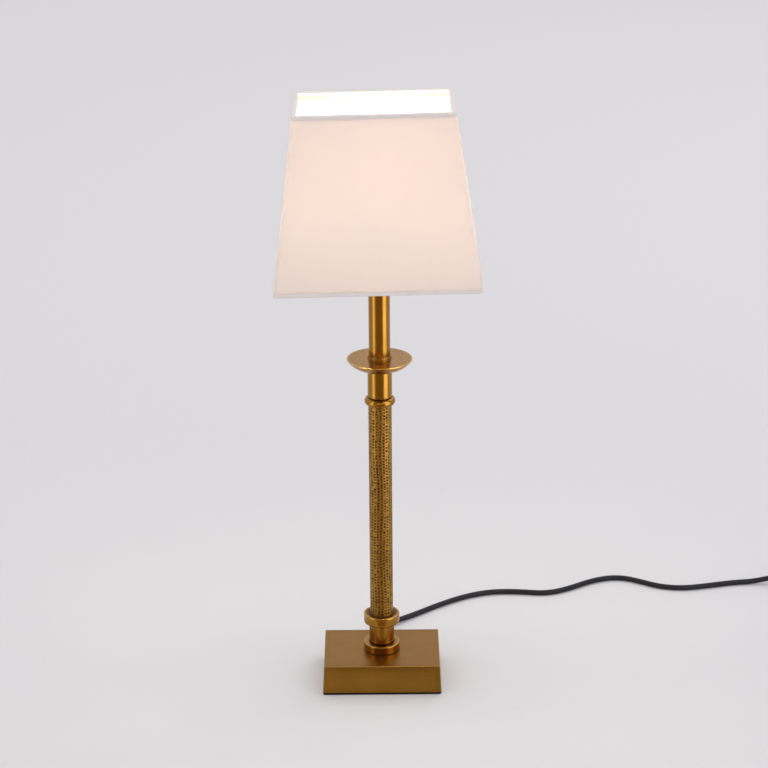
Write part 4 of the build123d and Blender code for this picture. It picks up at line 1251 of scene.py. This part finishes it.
class LAMP_OT_turned(bpy.types.Operator):
    """Make the turned brass pieces of the stem"""

    bl_idname = "lamp.turned"
    bl_label = "Turned brass"

    # how far one piece's spigot reaches into the next, the gap round it and its rounding
    spigot_tall, spigot_gap, spigot_round = 0.0025, 0.0002, 0.0003

    def execute(self, context):
        stem = context.scene.lamp_stem
        self.foot_and_neck(stem)
        self.collar(stem)
        self.bead(stem)
        self.drip_tube(stem)
        self.pan(stem)
        self.candle(stem)
        return {"FINISHED"}

    def turned(self, name, node, corners, segments=128):
        """A turned piece of aged brass in place of a solid."""
        finish(lathe(name, corners, segments), "lamp", "antique_brass", "turned_brass", node)

    def spigot_down(self, hole, spigot, level):
        """The corners of a spigot that reaches into the piece below."""
        end = level - self.spigot_tall
        return [(hole, end), (spigot, end, self.spigot_round), (spigot, level)]

    def spigot_up(self, hole, spigot, level):
        """The corners of a spigot that reaches into the piece above."""
        end = level + self.spigot_tall
        return [(spigot, level), (spigot, end, self.spigot_round), (hole, end)]

    def tube_corners(self, radius, wall, bottom, top, groove, step, patina_and_shade_top):
        """A tube with a narrow groove at its foot, painted dark in the groove and at both ends: patina in the
        joints and painted shade under the pieces beside it.
        """
        return [
            (radius - wall, bottom), (radius - step, bottom, 0.0, -1.0), (radius - step, groove, 0.0, -1.0),
            (radius, groove, 0.0002, 0.2), (radius, top, 0.0, patina_and_shade_top), (radius - wall, top),
        ]

    def foot_and_neck(self, stem):
        hole, wall = stem.rod_hole, stem.tube_wall
        base_top, foot_top, neck_top = high("base_shell"), low("neck_tube"), high("neck_tube")
        foot, neck = reach("foot_ring"), reach("neck_tube")
        spigot = neck - wall - self.spigot_gap
        self.turned("foot_ring_brass", "foot_ring", [
            # the foot ring is painted dark where it stands on the base and round the neck: patina in the
            # joints and painted shade
            (hole, base_top), (foot, base_top, 0.0004, -0.7), (foot, foot_top, 0.0008, 0.35),
            (neck + 0.0001, foot_top, 0.0, -1.0), *self.spigot_up(hole, spigot, foot_top),
        ])
        corners = self.tube_corners(neck, wall, foot_top, neck_top, foot_top + 0.0013, 0.0007, -0.8)
        self.turned("neck_brass", "neck_tube", corners)

    def collar(self, stem):
        hole, wall = stem.rod_hole, stem.tube_wall
        bottom, top = high("neck_tube"), low("textured_column")
        neck, column, ring = reach("neck_tube"), reach("textured_column"), reach("collar")
        spigot, upper_spigot = neck - wall - self.spigot_gap, column - wall - self.spigot_gap
        self.turned("collar_brass", "collar", [
            *self.spigot_down(hole, spigot, bottom), (neck + 0.0001, bottom, 0.0, -1.0),
            # the collar's top is painted dark for about 3 mm round the column: a painted reflection of the
            # dark column, with patina in the joint
            (ring, bottom, 0.0018, 0.2), (ring, top, 0.0012, 0.35), (column + 0.0034, top, 0.0, -0.75),
            (column + 0.0002, top, 0.0, -1.0), *self.spigot_up(hole, upper_spigot, top),
        ])

    def bead(self, stem):
        """The round bead between the column and the drip tube."""
        hole, wall = stem.rod_hole, stem.tube_wall
        bottom, top = high("textured_column"), low("drip_tube")
        widest, face, steps = reach("bead_ring"), 0.0123, 16
        middle, half, bulge = (bottom + top) / 2, (top - bottom) / 2, widest - face
        arc_radius = (bulge**2 + half**2) / (2 * bulge)
        half_turn = asin(min(half / arc_radius, 1.0))
        arc = []
        for k in range(steps + 1):
            turn = half_turn * (2 * k / steps - 1)
            arc.append((widest - arc_radius + arc_radius * cos(turn), middle + arc_radius * sin(turn)))
        # the bead's ends are painted dark where it meets the column and the drip tube: patina in the joints
        # and painted shade in the grooves
        arc[0], arc[-1] = (*arc[0], 0.0, -0.8), (*arc[-1], 0.0, -0.8)
        spigot = reach("textured_column") - wall - self.spigot_gap
        upper_spigot = reach("drip_tube") - wall - self.spigot_gap
        self.turned("bead_brass", "bead_ring", [
            *self.spigot_down(hole, spigot, bottom), *arc, *self.spigot_up(hole, upper_spigot, top),
        ])

    def drip_tube(self, stem):
        bottom, top, radius = low("drip_tube"), high("drip_tube"), reach("drip_tube")
        corners = self.tube_corners(radius, stem.tube_wall, bottom, top, bottom + 0.0009, 0.0006, -0.7)
        self.turned("drip_tube_brass", "drip_tube", corners)

    def pan(self, stem):
        """The drip pan: a thin lip, a bowl under it and a flat boss in its middle."""
        hole, drip, candle = stem.rod_hole, reach("drip_tube"), reach("candle_tube")
        bottom, boss_top, rim = high("drip_tube"), low("candle_tube"), reach("drip_pan")
        boss, boss_tall = 0.01145, 0.0033
        top = boss_top - boss_tall
        depth = top - bottom
        bulge, lip = (rim * 0.77, bottom + depth * 0.32), (rim, top - 0.0009)
        bowl = self.arc_through((drip + 0.0002, bottom), bulge, lip, 20)
        # the bowl's foot on the drip tube is painted dark: patina in the joint and painted shade under the
        # pan
        bowl[0] = (*bowl[0], 0.0, -0.8)
        spigot, upper_spigot = drip - stem.tube_wall - self.spigot_gap, candle - 0.0018
        self.turned("drip_pan_brass", "drip_pan", [
            *self.spigot_down(hole, spigot, bottom), *bowl[:-1], (*lip, 0.0002, 0.6),
            # the boss's foot and the candle tube's foot are painted dark: patina in the joints and painted
            # contact shade
            (rim, top, 0.00035, 1.0), (boss, top, 0.0003, -0.5), (boss, boss_top, 0.0005),
            (candle + 0.0001, boss_top, 0.0, -0.5), *self.spigot_up(hole, upper_spigot, boss_top),
        ], 144)

    def candle(self, stem):
        """The plain upper tube and the cap that closes it under the lampholder."""
        hole, radius = stem.rod_hole, reach("candle_tube")
        bottom, top, cap_top = low("candle_tube"), high("candle_tube"), high("candle_cap")
        bore, spigot = radius - 0.0016, radius - 0.0018
        self.turned("candle_brass", "candle_tube", [
            # the candle tube's foot is painted dark: patina in the joint and painted contact shade on the
            # pan's boss
            (bore, bottom), (radius, bottom, 0.0, -1.0), (radius, top, 0.0003, 0.2), (bore, top),
        ])
        self.turned("candle_cap_brass", "candle_cap", [
            *self.spigot_down(hole, spigot, top), (radius, top, 0.0004, -0.4),
            (radius, cap_top, stem.edge, 1.0), (hole, cap_top),
        ])

    def arc_through(self, a, b, c, steps):
        """Points on the circle through three points, from the first to the last."""
        ax, ay, bx, by, cx, cy = *a, *b, *c
        aa, bb, cc = ax**2 + ay**2, bx**2 + by**2, cx**2 + cy**2
        d = 2 * (ax * (by - cy) + bx * (cy - ay) + cx * (ay - by))
        ux = (aa * (by - cy) + bb * (cy - ay) + cc * (ay - by)) / d
        uy = (aa * (cx - bx) + bb * (ax - cx) + cc * (bx - ax)) / d
        radius = hypot(ax - ux, ay - uy)
        start, end = atan2(ay - uy, ax - ux), atan2(cy - uy, cx - ux)
        if end < start:
            end += 2 * pi
        turns = [start + (end - start) * k / steps for k in range(steps + 1)]
        return [(ux + radius * cos(turn), uy + radius * sin(turn)) for turn in turns]


class LAMP_OT_column(bpy.types.Operator):
    """Make the pitted column"""

    bl_idname = "lamp.column"
    bl_label = "Pitted column"

    # vertices round the column, and rows of them to one row of pits
    around, cells = 176, 7.36

    def execute(self, context):
        stem = context.scene.lamp_stem
        radius, bottom, top = reach("textured_column"), low("textured_column"), high("textured_column")
        rows = int((top - bottom) / stem.pit_pitch * self.cells)
        bore = radius - stem.tube_wall
        turns = [2 * pi * k / self.around for k in range(self.around)]

        def ring(r, z):
            return [(r * cos(turn), r * sin(turn), z) for turn in turns]

        outer = [ring(radius, bottom + (top - bottom) * i / rows) for i in range(rows + 1)]
        tube_mesh = skin(outer + [ring(bore, top), ring(bore, bottom)], closed_rows=True)
        column = shaped("pitted_column", tube_mesh, 70.0)
        column = grown(column, pit_tree(), {
            "Around": float(stem.pits_around), "Pitch": stem.pit_pitch, "Depth": stem.pit_depth,
            "Ripple": stem.pit_ripple, "Bottom": bottom, "Top": top, "Skin": radius - 0.0005,
            "Seed": 7.0, "Material": paint("column_brass"),
        })
        soften(column.data, 80.0)
        finish(column, "lamp", "lizard_brass", "column_brass", "textured_column")
        return {"FINISHED"}


class LAMP_OT_holder(bpy.types.Operator):
    """Make the lampholder and the ring that locks the shade on it"""

    bl_idname = "lamp.holder"
    bl_label = "Lampholder"

    def execute(self, context):
        self.cup()
        self.skirt()
        shell, bore, thread_depth = reach("holder_screw_shell"), 0.0075, 0.00022
        shell_low, shell_top = low("holder_screw_shell"), high("holder_screw_shell")
        finish(
            threaded("screw_shell", shell, thread_depth, shell_low, shell_top, BULB_PITCH, bore),
            "lamp", "contact_brass", "contact_brass", "holder_screw_shell",
        )
        self.lock_ring()
        return {"FINISHED"}

    def cup(self):
        """The cup that screws onto the rod and holds the ceramic insert."""
        bottom, top, cup = low("holder_base"), high("holder_base"), reach("holder_base")
        rod_top, ledge = high("stem_rod"), low("holder_insert")
        bore, nut, foot, wall, step = 0.005, 0.008, 0.0116, 0.002, 0.0004
        corners = [
            (bore, bottom), (foot, bottom, 0.0006), (cup, bottom + 0.009, 0.001), (cup, top - 0.002),
            (cup - step, top - 0.0016), (cup - step, top), (cup - wall, top), (cup - wall, ledge),
            (nut, ledge), (nut, rod_top), (bore, rod_top),
        ]
        finish(lathe("holder_cup", corners, 96), "lamp", "holder_plastic", "holder_plastic", "holder_base")

    def skirt(self):
        """The threaded skirt that the shade and its ring go over, with its flange."""
        bottom, top, rim = low("holder_skirt"), high("holder_skirt"), reach("holder_skirt")
        bore, crest, thread_depth, pitch = 0.0114, 0.014, 0.0006, 0.0025
        flange_top = bottom + FLANGE
        flange = lathe("flange", [
            (bore, bottom), (rim, bottom, 0.0004), (rim, flange_top, 0.0004), (bore, flange_top),
        ], 96)
        thread = threaded("skirt", crest, thread_depth, flange_top, top, pitch, bore)
        skirt = joined("holder_threaded_skirt", [flange, thread])
        finish(skirt, "lamp", "holder_plastic", "holder_plastic", "holder_skirt")

    def lock_ring(self):
        """The ring that screws down on the shade, with grips round it."""
        bottom, top = low("shade_lock_ring"), high("shade_lock_ring")
        outer, bore, body = reach("shade_lock_ring"), 0.0143, 0.0166
        step, sunk, grip_radius = bottom + 0.0022, 0.0004, 0.0007
        ring = lathe("lock_ring_body", [
            (bore, bottom, 0.0003), (outer, bottom, 0.0005), (outer, step, 0.0005), (body, step, 0.0002),
            (body, top, 0.0008), (bore, top, 0.0004),
        ], 96)
        grip = lathe("grip", [
            (0.0, step - sunk), (grip_radius, step - sunk), (grip_radius, top - 0.0012, 0.0003),
            (0.0, top - 0.0008),
        ], 12)
        grips = grown(grip, pattern_tree("Grips round the ring", "circle"), {
            "Count": 16, "Radius": body, "Material": paint("holder_plastic"),
        })
        made = joined("shade_lock_ring_ribbed", [ring, grips])
        finish(made, "lock_ring", "holder_plastic", "holder_plastic", "shade_lock_ring")


class LAMP_OT_bulb(bpy.types.Operator):
    """Make the bulb"""

    bl_idname = "lamp.bulb"
    bl_label = "Bulb"

    def execute(self, context):
        cap_low, cap_top = low("bulb_screw_cap"), high("bulb_screw_cap")
        ball, top = 0.0225, high("bulb_glass")
        centre = top - ball
        finish(self.glass(cap_top, centre, ball), "bulb", "bulb_glass", "bulb_glass", "bulb_glass")
        crest, root, bore, collar_bore, thread_depth = 0.00695, 0.0068, 0.0061, 0.00655, 0.0005
        collar_low, lap = cap_top - 0.0042, 0.0002
        cap = threaded("cap_thread", crest, thread_depth, cap_low, collar_low + lap, BULB_PITCH, bore, 64)
        collar = lathe("cap_collar", [
            (collar_bore, collar_low), (root, collar_low), (crest, cap_top - 0.003, 0.0002),
            (crest, cap_top, 0.0002), (collar_bore, cap_top),
        ], 64)
        cap = joined("bulb_threaded_cap", [cap, collar])
        finish(cap, "bulb", "bulb_metal", "bulb_metal", "bulb_screw_cap")
        a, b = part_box("bulb_insulator")
        finish(
            lathe("bulb_black_bead", [
                (0.0, a.z), (0.0036, a.z, 0.0003), (0.0052, a.z + 0.0014, 0.0006), (b.x, b.z - 0.0001),
                (b.x, b.z), (0.0, b.z),
            ], 64),
            "bulb", "bulb_bead", "bulb_bead", "bulb_insulator",
        )
        a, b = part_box("bulb_contact")
        finish(
            lathe("bulb_tip", [
                (0.0, a.z), (b.x - 0.0006, a.z + 0.0001, 0.0003), (b.x, b.z - 0.0003), (b.x, b.z), (0.0, b.z),
            ], 48),
            "bulb", "bulb_metal", "bulb_metal", "bulb_contact",
        )
        a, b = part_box("bulb_filaments")
        thick, tip = 0.0008, 0.0006
        stick = lathe("stick", [
            (0.0, a.z), (tip, a.z + 0.0001, 0.0002), (thick, a.z + thick), (thick, b.z - thick),
            (tip, b.z - 0.0001, 0.0002), (0.0, b.z),
        ], 14)
        turn = Matrix.Rotation(pi / 4, 4, "Z")
        sticks = grown(stick, pattern_tree("Light sticks", "circle"), {
            "Count": 4, "Radius": 0.006, "Material": paint("bulb_filament"),
        })
        sticks.data.transform(turn)
        soften(sticks.data, 50.0)
        sticks.name = "bulb_light_sticks"
        finish(sticks, "bulb", "bulb_filament", "bulb_filament", "bulb_filaments")
        stem_copy = smooth_copy("bulb_glass_stem", "bulb_stem", 40.0)
        finish(stem_copy, "bulb", "bulb_glass", "bulb_glass", "bulb_stem")
        return {"FINISHED"}

    def glass(self, cap_top, centre, ball):
        """The bulb's glass: a neck in the cap that opens into a ball, with a thin wall."""
        drop, foot, throat, wall = 0.017, cap_top - 0.005, 0.00645, 0.0008

        def side(inset):
            neck, radius = throat - inset, ball - inset
            joint = Vector((sqrt(radius**2 - drop**2), centre - drop))
            start = Vector((neck, cap_top))
            span = (joint - start).length
            up = Vector((0, 1)) * span
            slope = Vector((drop, joint.x)).normalized() * span
            points = [(neck, foot)]
            for k in range(13):
                t = k / 12
                p = (
                    start * (2 * t**3 - 3 * t**2 + 1) + up * (t**3 - 2 * t**2 + t)
                    + joint * (3 * t**2 - 2 * t**3) + slope * (t**3 - t**2)
                )
                points.append((p.x, p.y))
            first = -sqrt(1 - (joint.x / radius) ** 2)
            begin = Vector((joint.x / radius, first)).angle_signed(Vector((1, 0)))
            for k in range(1, 29):
                turn = begin + (pi / 2 - begin) * k / 28
                points.append((max(radius * cos(turn), 0.0), centre + radius * sin(turn)))
            points[-1] = (0.0, centre + radius)
            return points

        return lathe("bulb_clear_glass", side(0.0) + side(wall)[::-1], 72, angle=60.0)


class LAMP_OT_shade(bpy.types.Operator):
    """Make the fabric shade with its liner, trims, wires and spider"""

    bl_idname = "lamp.shade"
    bl_label = "Shade"

    def execute(self, context):
        self.sizes = shade = context.scene.lamp_shade
        gap = 0.0002
        self.seat = low("holder_skirt") + FLANGE + gap
        self.bottom = self.seat - shade.drop
        self.top = self.bottom + shade.tall
        cloth = self.cloth_sheet()
        finish(cloth, "shade", "shade_fabric", "shade_cloth", "shade_fabric")
        liner = self.wall("shade_liner_sheet", -shade.cloth - 0.00005, 18)
        thick = liner.modifiers.new("thickness", "SOLIDIFY")
        thick.thickness, thick.offset = shade.liner - 0.0001, -1.0
        finish(liner, "shade", "shade_liner", "shade_liner", "shade_liner")
        for name, edge, inward, node in (
            ("shade_top_hem", self.top, -1, "shade_top_trim"),
            ("shade_bottom_hem", self.bottom, 1, "shade_bottom_trim"),
        ):
            hem = self.hem(name, edge, inward)
            finish(hem, "shade", "shade_trim", "shade_trim", node)
        seam = self.seam()
        finish(seam, "shade", "shade_fabric", "shade_cloth")
        self.frame_wires()
        return {"FINISHED"}

    def hang(self, point):
        """A point of the level shade, where it is as the shade hangs."""
        lean = self.sizes.lean
        x, z = point[0], point[2] - self.seat
        across = self.sizes.shift + x * cos(lean) - z * sin(lean)
        return Vector((across, point[1], self.seat + x * sin(lean) + z * cos(lean)))

    def half_sizes(self, height):
        """Half the shade's width and depth at a height."""
        shade = self.sizes
        rise = (height - self.bottom) / shade.tall
        width = shade.bottom_width + (shade.top_width - shade.bottom_width) * rise
        depth = shade.bottom_depth + (shade.top_depth - shade.bottom_depth) * rise
        return width / 2, depth / 2

    def loop(self, height, grow):
        """Points round the shade at a height, larger all round by an offset."""
        half_width, half_depth = (half + grow for half in self.half_sizes(height))
        least = 0.0006
        corner = max(self.sizes.corner + grow, least)
        points = []
        for quarter, arc in enumerate(corner_arcs(half_width, half_depth, corner, 8)):
            points += arc
            last = arc[-1]
            flat = half_width - corner if quarter % 2 == 0 else half_depth - corner
            steps = 22 if quarter % 2 == 0 else 16
            ahead = ((-1, 0), (0, -1), (1, 0), (0, 1))[quarter]
            for k in range(1, steps):
                move = 2 * flat * k / steps
                points.append((last[0] + ahead[0] * move, last[1] + ahead[1] * move))
        return [self.hang((x, y, height)) for x, y in points]

    def wall(self, name, grow, rows):
        """The shade's wall as one surface, with a UV map in metres on each panel."""
        heights = [self.bottom + (self.top - self.bottom) * i / rows for i in range(rows + 1)]
        bm = skin([self.loop(z, grow) for z in heights])
        layer = bm.loops.layers.uv.new("flat")
        # the walls lean in, so that cloth is longer than it is high, and the side panels come after the front
        stretch, side_panel = 1.007, 0.5
        for face in bm.faces:
            sideways = abs(face.normal.x) > abs(face.normal.y)
            for corner in face.loops:
                p = corner.vert.co
                along = p.y + side_panel if sideways else p.x
                corner[layer].uv = (along, (p.z - self.seat) * stretch)
        return shaped(name, bm, 40.0, outward=False)

    def cloth_sheet(self):
        shade = self.sizes
        cloth = self.wall("shade_cloth", 0.0, 34)
        thick = cloth.modifiers.new("thickness", "SOLIDIFY")
        thick.thickness, thick.offset = shade.cloth, -1.0
        return cloth

    def hem(self, name, edge, inward):
        """A rolled hem over the fabric, the liner and the wire."""
        shade = self.sizes
        inside = -(shade.cloth + shade.liner + 2 * shade.wire + 0.0001)
        # the hem's outer wall, its height, its rolls, how far it stands past the edge and its small gaps
        wall, tall, steps = 0.0003, shade.trim * 0.78, 6
        roll, inner_roll, over, out, seat = 0.0012, 0.0009, 0.0004, 0.00004, 0.00002
        section = [(out, tall), (out + wall * 0.7, tall), (out + wall, tall - 0.0005), (out + wall, roll)]
        for k in range(1, steps):
            turn = k / steps * pi / 2
            section.append((out + wall - roll * (1 - cos(turn)), roll - (roll + over) * sin(turn)))
        section += [(out + wall - roll, -over), (inside + inner_roll, -over)]
        for k in range(1, steps):
            turn = k / steps * pi / 2
            section.append((
                inside + inner_roll - (inner_roll + over) * sin(turn), roll - (roll + over) * cos(turn),
            ))
        section += [
            (inside - over, roll), (inside - over, tall - over), (inside - over / 2, tall), (inside, tall),
            (inside, over), (inside + 0.0006, seat), (-over, seat), (out, over),
        ]
        rows = [self.loop(edge + inward * up, grow) for grow, up in section]
        return shaped(name, skin(rows, closed_rows=True), 50.0)

    def seam(self):
        """The lapped seam at a rear corner, where the fabric's ends are glued."""
        shade = self.sizes
        rows = []
        steps, inset, wide, bevel, lift, proud = 20, 0.0005, 0.009, 0.0003, 0.00003, 0.0004
        low_end, high_end = self.bottom + shade.trim * 0.9, self.top - shade.trim * 0.9
        for i in range(steps + 1):
            z = low_end + (high_end - low_end) * i / steps
            half_width, half_depth = self.half_sizes(z)
            x_end = half_width - shade.corner - inset
            x_start = x_end - wide
            row = [
                (x_start, half_depth + lift), (x_start + bevel, half_depth + proud),
                (x_end - bevel, half_depth + proud), (x_end, half_depth + lift),
            ]
            rows.append([self.hang((x, y, z)) for x, y in row])
        bm = skin(rows)
        close_both(bm, 4)
        layer = bm.loops.layers.uv.new("flat")
        for face in bm.faces:
            for corner in face.loops:
                p = corner.vert.co
                corner[layer].uv = (p.x + 0.3, p.z - self.seat)
        return shaped("shade_seam", bm, 30.0)

    def frame_wires(self):
        shade = self.sizes
        inset = -(shade.cloth + shade.liner + shade.wire + 0.00008)
        bottom_height = self.bottom + shade.wire + 0.00005
        top_height = self.top - shade.wire - 0.00005
        top_wire = tube("shade_top_wire_round", self.loop(top_height, inset), shade.wire, 12, closed=True)
        finish(top_wire, "shade", "white_wire", "white_wire", "shade_top_wire")
        pieces = [tube("bottom_wire", self.loop(bottom_height, inset), shade.wire, 12, closed=True)]
        inner, outer, thick = 0.0146, 0.0205, 0.002
        pieces.append(lathe("fitter", [
            (inner, self.seat, 0.0003), (outer, self.seat, 0.0005), (outer, self.seat + thick, 0.0005),
            (inner, self.seat + thick, 0.0003),
        ], 96))
        half_width, half_depth = (half + inset for half in self.half_sizes(bottom_height))
        weld, steps, swell = outer - 0.0009, 14, 0.45
        for x, y in ((1, 0), (0, 1), (-1, 0), (0, -1)):
            start = Vector((x * weld, y * weld, self.seat + thick / 2))
            end = self.hang((x * half_width, y * half_depth, bottom_height))
            path = [start.lerp(end, k / steps) for k in range(steps + 1)]
            # a bead of weld swells each end
            ends = [max(0.0, 1 - min(k, steps - k) / 1.2) for k in range(steps + 1)]
            radii = [shade.arm * (1 + swell * end_share) for end_share in ends]
            pieces.append(tube("arm", path, radii, 14))
        finish(joined("shade_spider", pieces), "shade", "white_wire", "white_wire", "shade_frame")


class LAMP_OT_fittings(bpy.types.Operator):
    """Make the strain relief, the switch, the plug and the coil's strap"""

    bl_idname = "lamp.fittings"
    bl_label = "Switch, plug and strain relief"

    def execute(self, context):
        lead = context.scene.lamp_lead
        finish(self.relief(lead), "lamp", "black_rubber", "black_rubber", "cord_relief")
        for name, body, node in (
            ("switch_body_lower", "lamp", "switch_base"), ("switch_body_upper", "lamp", "switch_cover"),
            ("switch_paddle", "rocker", "switch_rocker"), ("plug_shell", "lamp", "plug_body"),
        ):
            finish(smooth_copy(name, node, 30.0), body, "black_plastic", "black_plastic", node)
        finish(self.plug_boot(), "lamp", "black_rubber", "black_rubber", "plug_relief")
        self.prongs()
        self.plug_ribs()
        self.strap()
        return {"FINISHED"}

    def boot(self, name, start, heading, length, root, tip, bore, grooves):
        """A rubber boot along the lead, with grooves that let it bend."""
        rows = []
        steps, sides, groove_depth, nose = 64, 40, 0.00055, 0.0003
        first, last, nose_start = 0.12, 0.94, 0.97
        for k in range(steps + 1):
            t = k / steps
            radius = root + (tip - root) * t
            if first < t < last:
                wave = 0.5 + 0.5 * cos(2 * pi * grooves * (t - first) / (last - first))
                radius -= groove_depth * (1 - wave) ** 2 * (1 - 0.3 * t)
            if t > nose_start:
                radius -= nose * (t - nose_start) / (1 - nose_start)
            rows.append((start + heading * (length * t), radius))
        rows.append((start + heading * length, bore))
        rows.append((start, bore))
        up = Vector((0, 0, 1))
        across = up.cross(heading).normalized()
        rings = [ring_about(p, across, up, r, sides) for p, r in rows]
        return shaped(name, skin(rings, closed_rows=True), 50.0)

    def relief(self, lead):
        a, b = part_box("cord_relief")
        z = (a.z + b.z) / 2
        bore, length, flange, rim, waist = lead.radius + 0.0001, 0.028, 0.002, 0.0065, 0.0044
        start, back = Vector((0, b.y - length, z)), Vector((0, 1, 0))
        boot = self.boot("boot", start, back, length, 0.0054, 0.0039, bore, 7)
        rings = []
        wall_in, wall_out = a.y + flange, b.y - length - flange
        parts = ((a.y, wall_in, rim), (wall_in, wall_out, waist), (wall_out, wall_out + flange, rim))
        for y0, y1, r in parts:
            outline = [(bore, y0), (r, y0, 0.0004), (r, y1, 0.0004), (bore, y1)]
            disc = lathe("disc", outline, 48)
            disc.data.transform(Matrix.Translation((0, 0, z)) @ Matrix.Rotation(-pi / 2, 4, "X"))
            rings.append(disc)
        return joined("lead_relief_boot", [boot, *rings])

    def plug_boot(self):
        a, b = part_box("plug_relief")
        start = Vector((a.x, (a.y + b.y) / 2, (a.z + b.z) / 2))
        return self.boot("plug_boot", start, Vector((1, 0, 0)), b.x - a.x, 0.0049, 0.0037, 0.001, 6)

    def prongs(self):
        a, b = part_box("plug_pins")
        z = (a.z + b.z) / 2
        radius, long, thin, over, covered = 0.00198, 0.019, 0.0018, 0.00202, 0.01
        metal, sleeves = [], []
        for y in (a.y + 0.002, b.y - 0.002):
            pin = lathe("pin", [
                (0, 0), (radius, 0), (radius, long - 0.0009, 0.0009), (radius / 2.2, long, 0.0004), (0, long),
            ], 32)
            sleeve = lathe("sleeve", [
                (thin, 0), (over, 0), (over, covered - 0.0002, 0.0002), (thin, covered),
            ], 32)
            for piece in (pin, sleeve):
                turn = Matrix.Rotation(-pi / 2, 4, "Y")
                piece.data.transform(Matrix.Translation((b.x, y, z)) @ turn)
            metal.append(pin)
            sleeves.append(sleeve)
        finish(joined("plug_prongs", metal), "lamp", "pin_metal", "pin_metal", "plug_pins")
        finish(joined("plug_prong_sleeves", sleeves), "lamp", "black_plastic", "black_plastic")

    def plug_ribs(self):
        """Grip ribs on both broad faces of the plug."""
        a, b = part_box("plug_body")
        y = (a.y + b.y) / 2
        half, thick, step, first, sunk = 0.009, 0.0005, 0.0023, 0.020, 0.0001
        radii = [thick * part for part in (0.4, 0.9, 1, 1, 1, 0.9, 0.4)]
        path = [(0, -half + 2 * half * k / (len(radii) - 1), 0) for k in range(len(radii))]
        ribs = grown(tube("rib", path, radii, 8), pattern_tree("Grip ribs", "line"), {
            "Count": 6, "Step": (step, 0, 0), "Material": paint("black_plastic"),
        })
        moved(ribs, (b.x - first, y, b.z - sunk))
        lower = moved(add_object("ribs_lower", ribs.data.copy()), (0, 0, a.z - b.z + 0.0007))
        finish(joined("plug_grip_ribs", [ribs, lower]), "lamp", "black_plastic", "black_plastic")

    def strap(self):
        """A soft strap round the coil."""
        a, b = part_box("coil_tie")
        middle = (a + b) / 2
        thick, half, corner, inset = 0.0006, 0.0035, 0.0036, 0.00035
        arcs = corner_arcs((b.x - a.x) / 2 - inset, (b.z - a.z) / 2 - inset, corner, 8)
        path = [middle + Vector((x, 0, z)) for arc in arcs for x, z in arc]
        rows = []
        for i, p in enumerate(path):
            ahead = (path[(i + 1) % len(path)] - path[i - 1]).normalized()
            out = Vector((ahead.z, 0, -ahead.x))
            if out.dot(p - middle) < 0:
                out = -out
            outer, inner, side = p + out * (thick / 2), p - out * (thick / 2), Vector((0, half, 0))
            rows.append([outer + side, outer - side, inner - side, inner + side])
        strap = shaped("coil_strap", skin(rows, closed_rows=True), 40.0)
        round_edges = strap.modifiers.new("edges", "BEVEL")
        round_edges.width, round_edges.segments = 0.00018, 2
        finish(strap, "lamp", "tie_fabric", "tie_fabric", "coil_tie")


class LAMP_OT_inner(bpy.types.Operator):
    """Give the carried-over solids their materials"""

    bl_idname = "lamp.inner"
    bl_label = "Inner pieces"

    surfaces = {
        "bottom_plate": "zinc_steel", "bottom_plate_screws": "zinc_steel", "base_weight": "cast_weight",
        "stem_rod": "zinc_steel", "rod_washer": "zinc_steel", "rod_nut": "zinc_steel",
        "holder_insert": "ceramic_insert", "holder_terminal_screws": "contact_brass",
        "holder_centre_tongue": "contact_brass",
        "cord_clamp": "holder_plastic", "cord_clamp_screws": "zinc_steel",
        "switch_screws": "zinc_steel", "switch_contacts": "contact_brass", "switch_wires": "lead_sheath",
    }

    def execute(self, context):
        for node, surface in self.surfaces.items():
            solid = solids[node]
            solid.data.materials.clear()
            solid.data.materials.append(paint(surface))
        return {"FINISHED"}


class LAMP_PT_panel(bpy.types.Panel):
    """Lists the lamp's pieces and sizes"""

    bl_idname = "LAMP_PT_panel"
    bl_label = "Table lamp"
    bl_space_type = "VIEW_3D"
    bl_region_type = "UI"
    bl_category = "Table lamp"

    def draw(self, context):
        for operator in operators:
            self.layout.operator(operator.bl_idname)
        for name in groups:
            box = self.layout.box()
            settings = getattr(context.scene, name)
            for prop in settings.bl_rna.properties:
                if prop.identifier not in ("rna_type", "name"):
                    box.prop(settings, prop.identifier)


groups = {
    "lamp_stem": StemSizes,
    "lamp_shade": ShadeSizes,
    "lamp_lead": LeadSizes,
    "lamp_finishes": Finishes,
    "lamp_stage": StageSettings,
}
operators = (
    LAMP_OT_stage, LAMP_OT_fittings, LAMP_OT_lead, LAMP_OT_base, LAMP_OT_turned, LAMP_OT_column,
    LAMP_OT_holder, LAMP_OT_bulb, LAMP_OT_shade, LAMP_OT_inner,
)


def register():
    for kind in (*groups.values(), *operators, LAMP_PT_panel):
        bpy.utils.register_class(kind)
    for name, kind in groups.items():
        setattr(bpy.types.Scene, name, PointerProperty(type=kind))


def unregister():
    for name in groups:
        delattr(bpy.types.Scene, name)
    for kind in (LAMP_PT_panel, *reversed(operators), *groups.values()):
        bpy.utils.unregister_class(kind)


def main():
    register()
    for operator in operators:
        group, name = operator.bl_idname.split(".")
        getattr(getattr(bpy.ops, group), name)()
    bpy.context.view_layer.update()


if __name__ == "__main__":
    main()
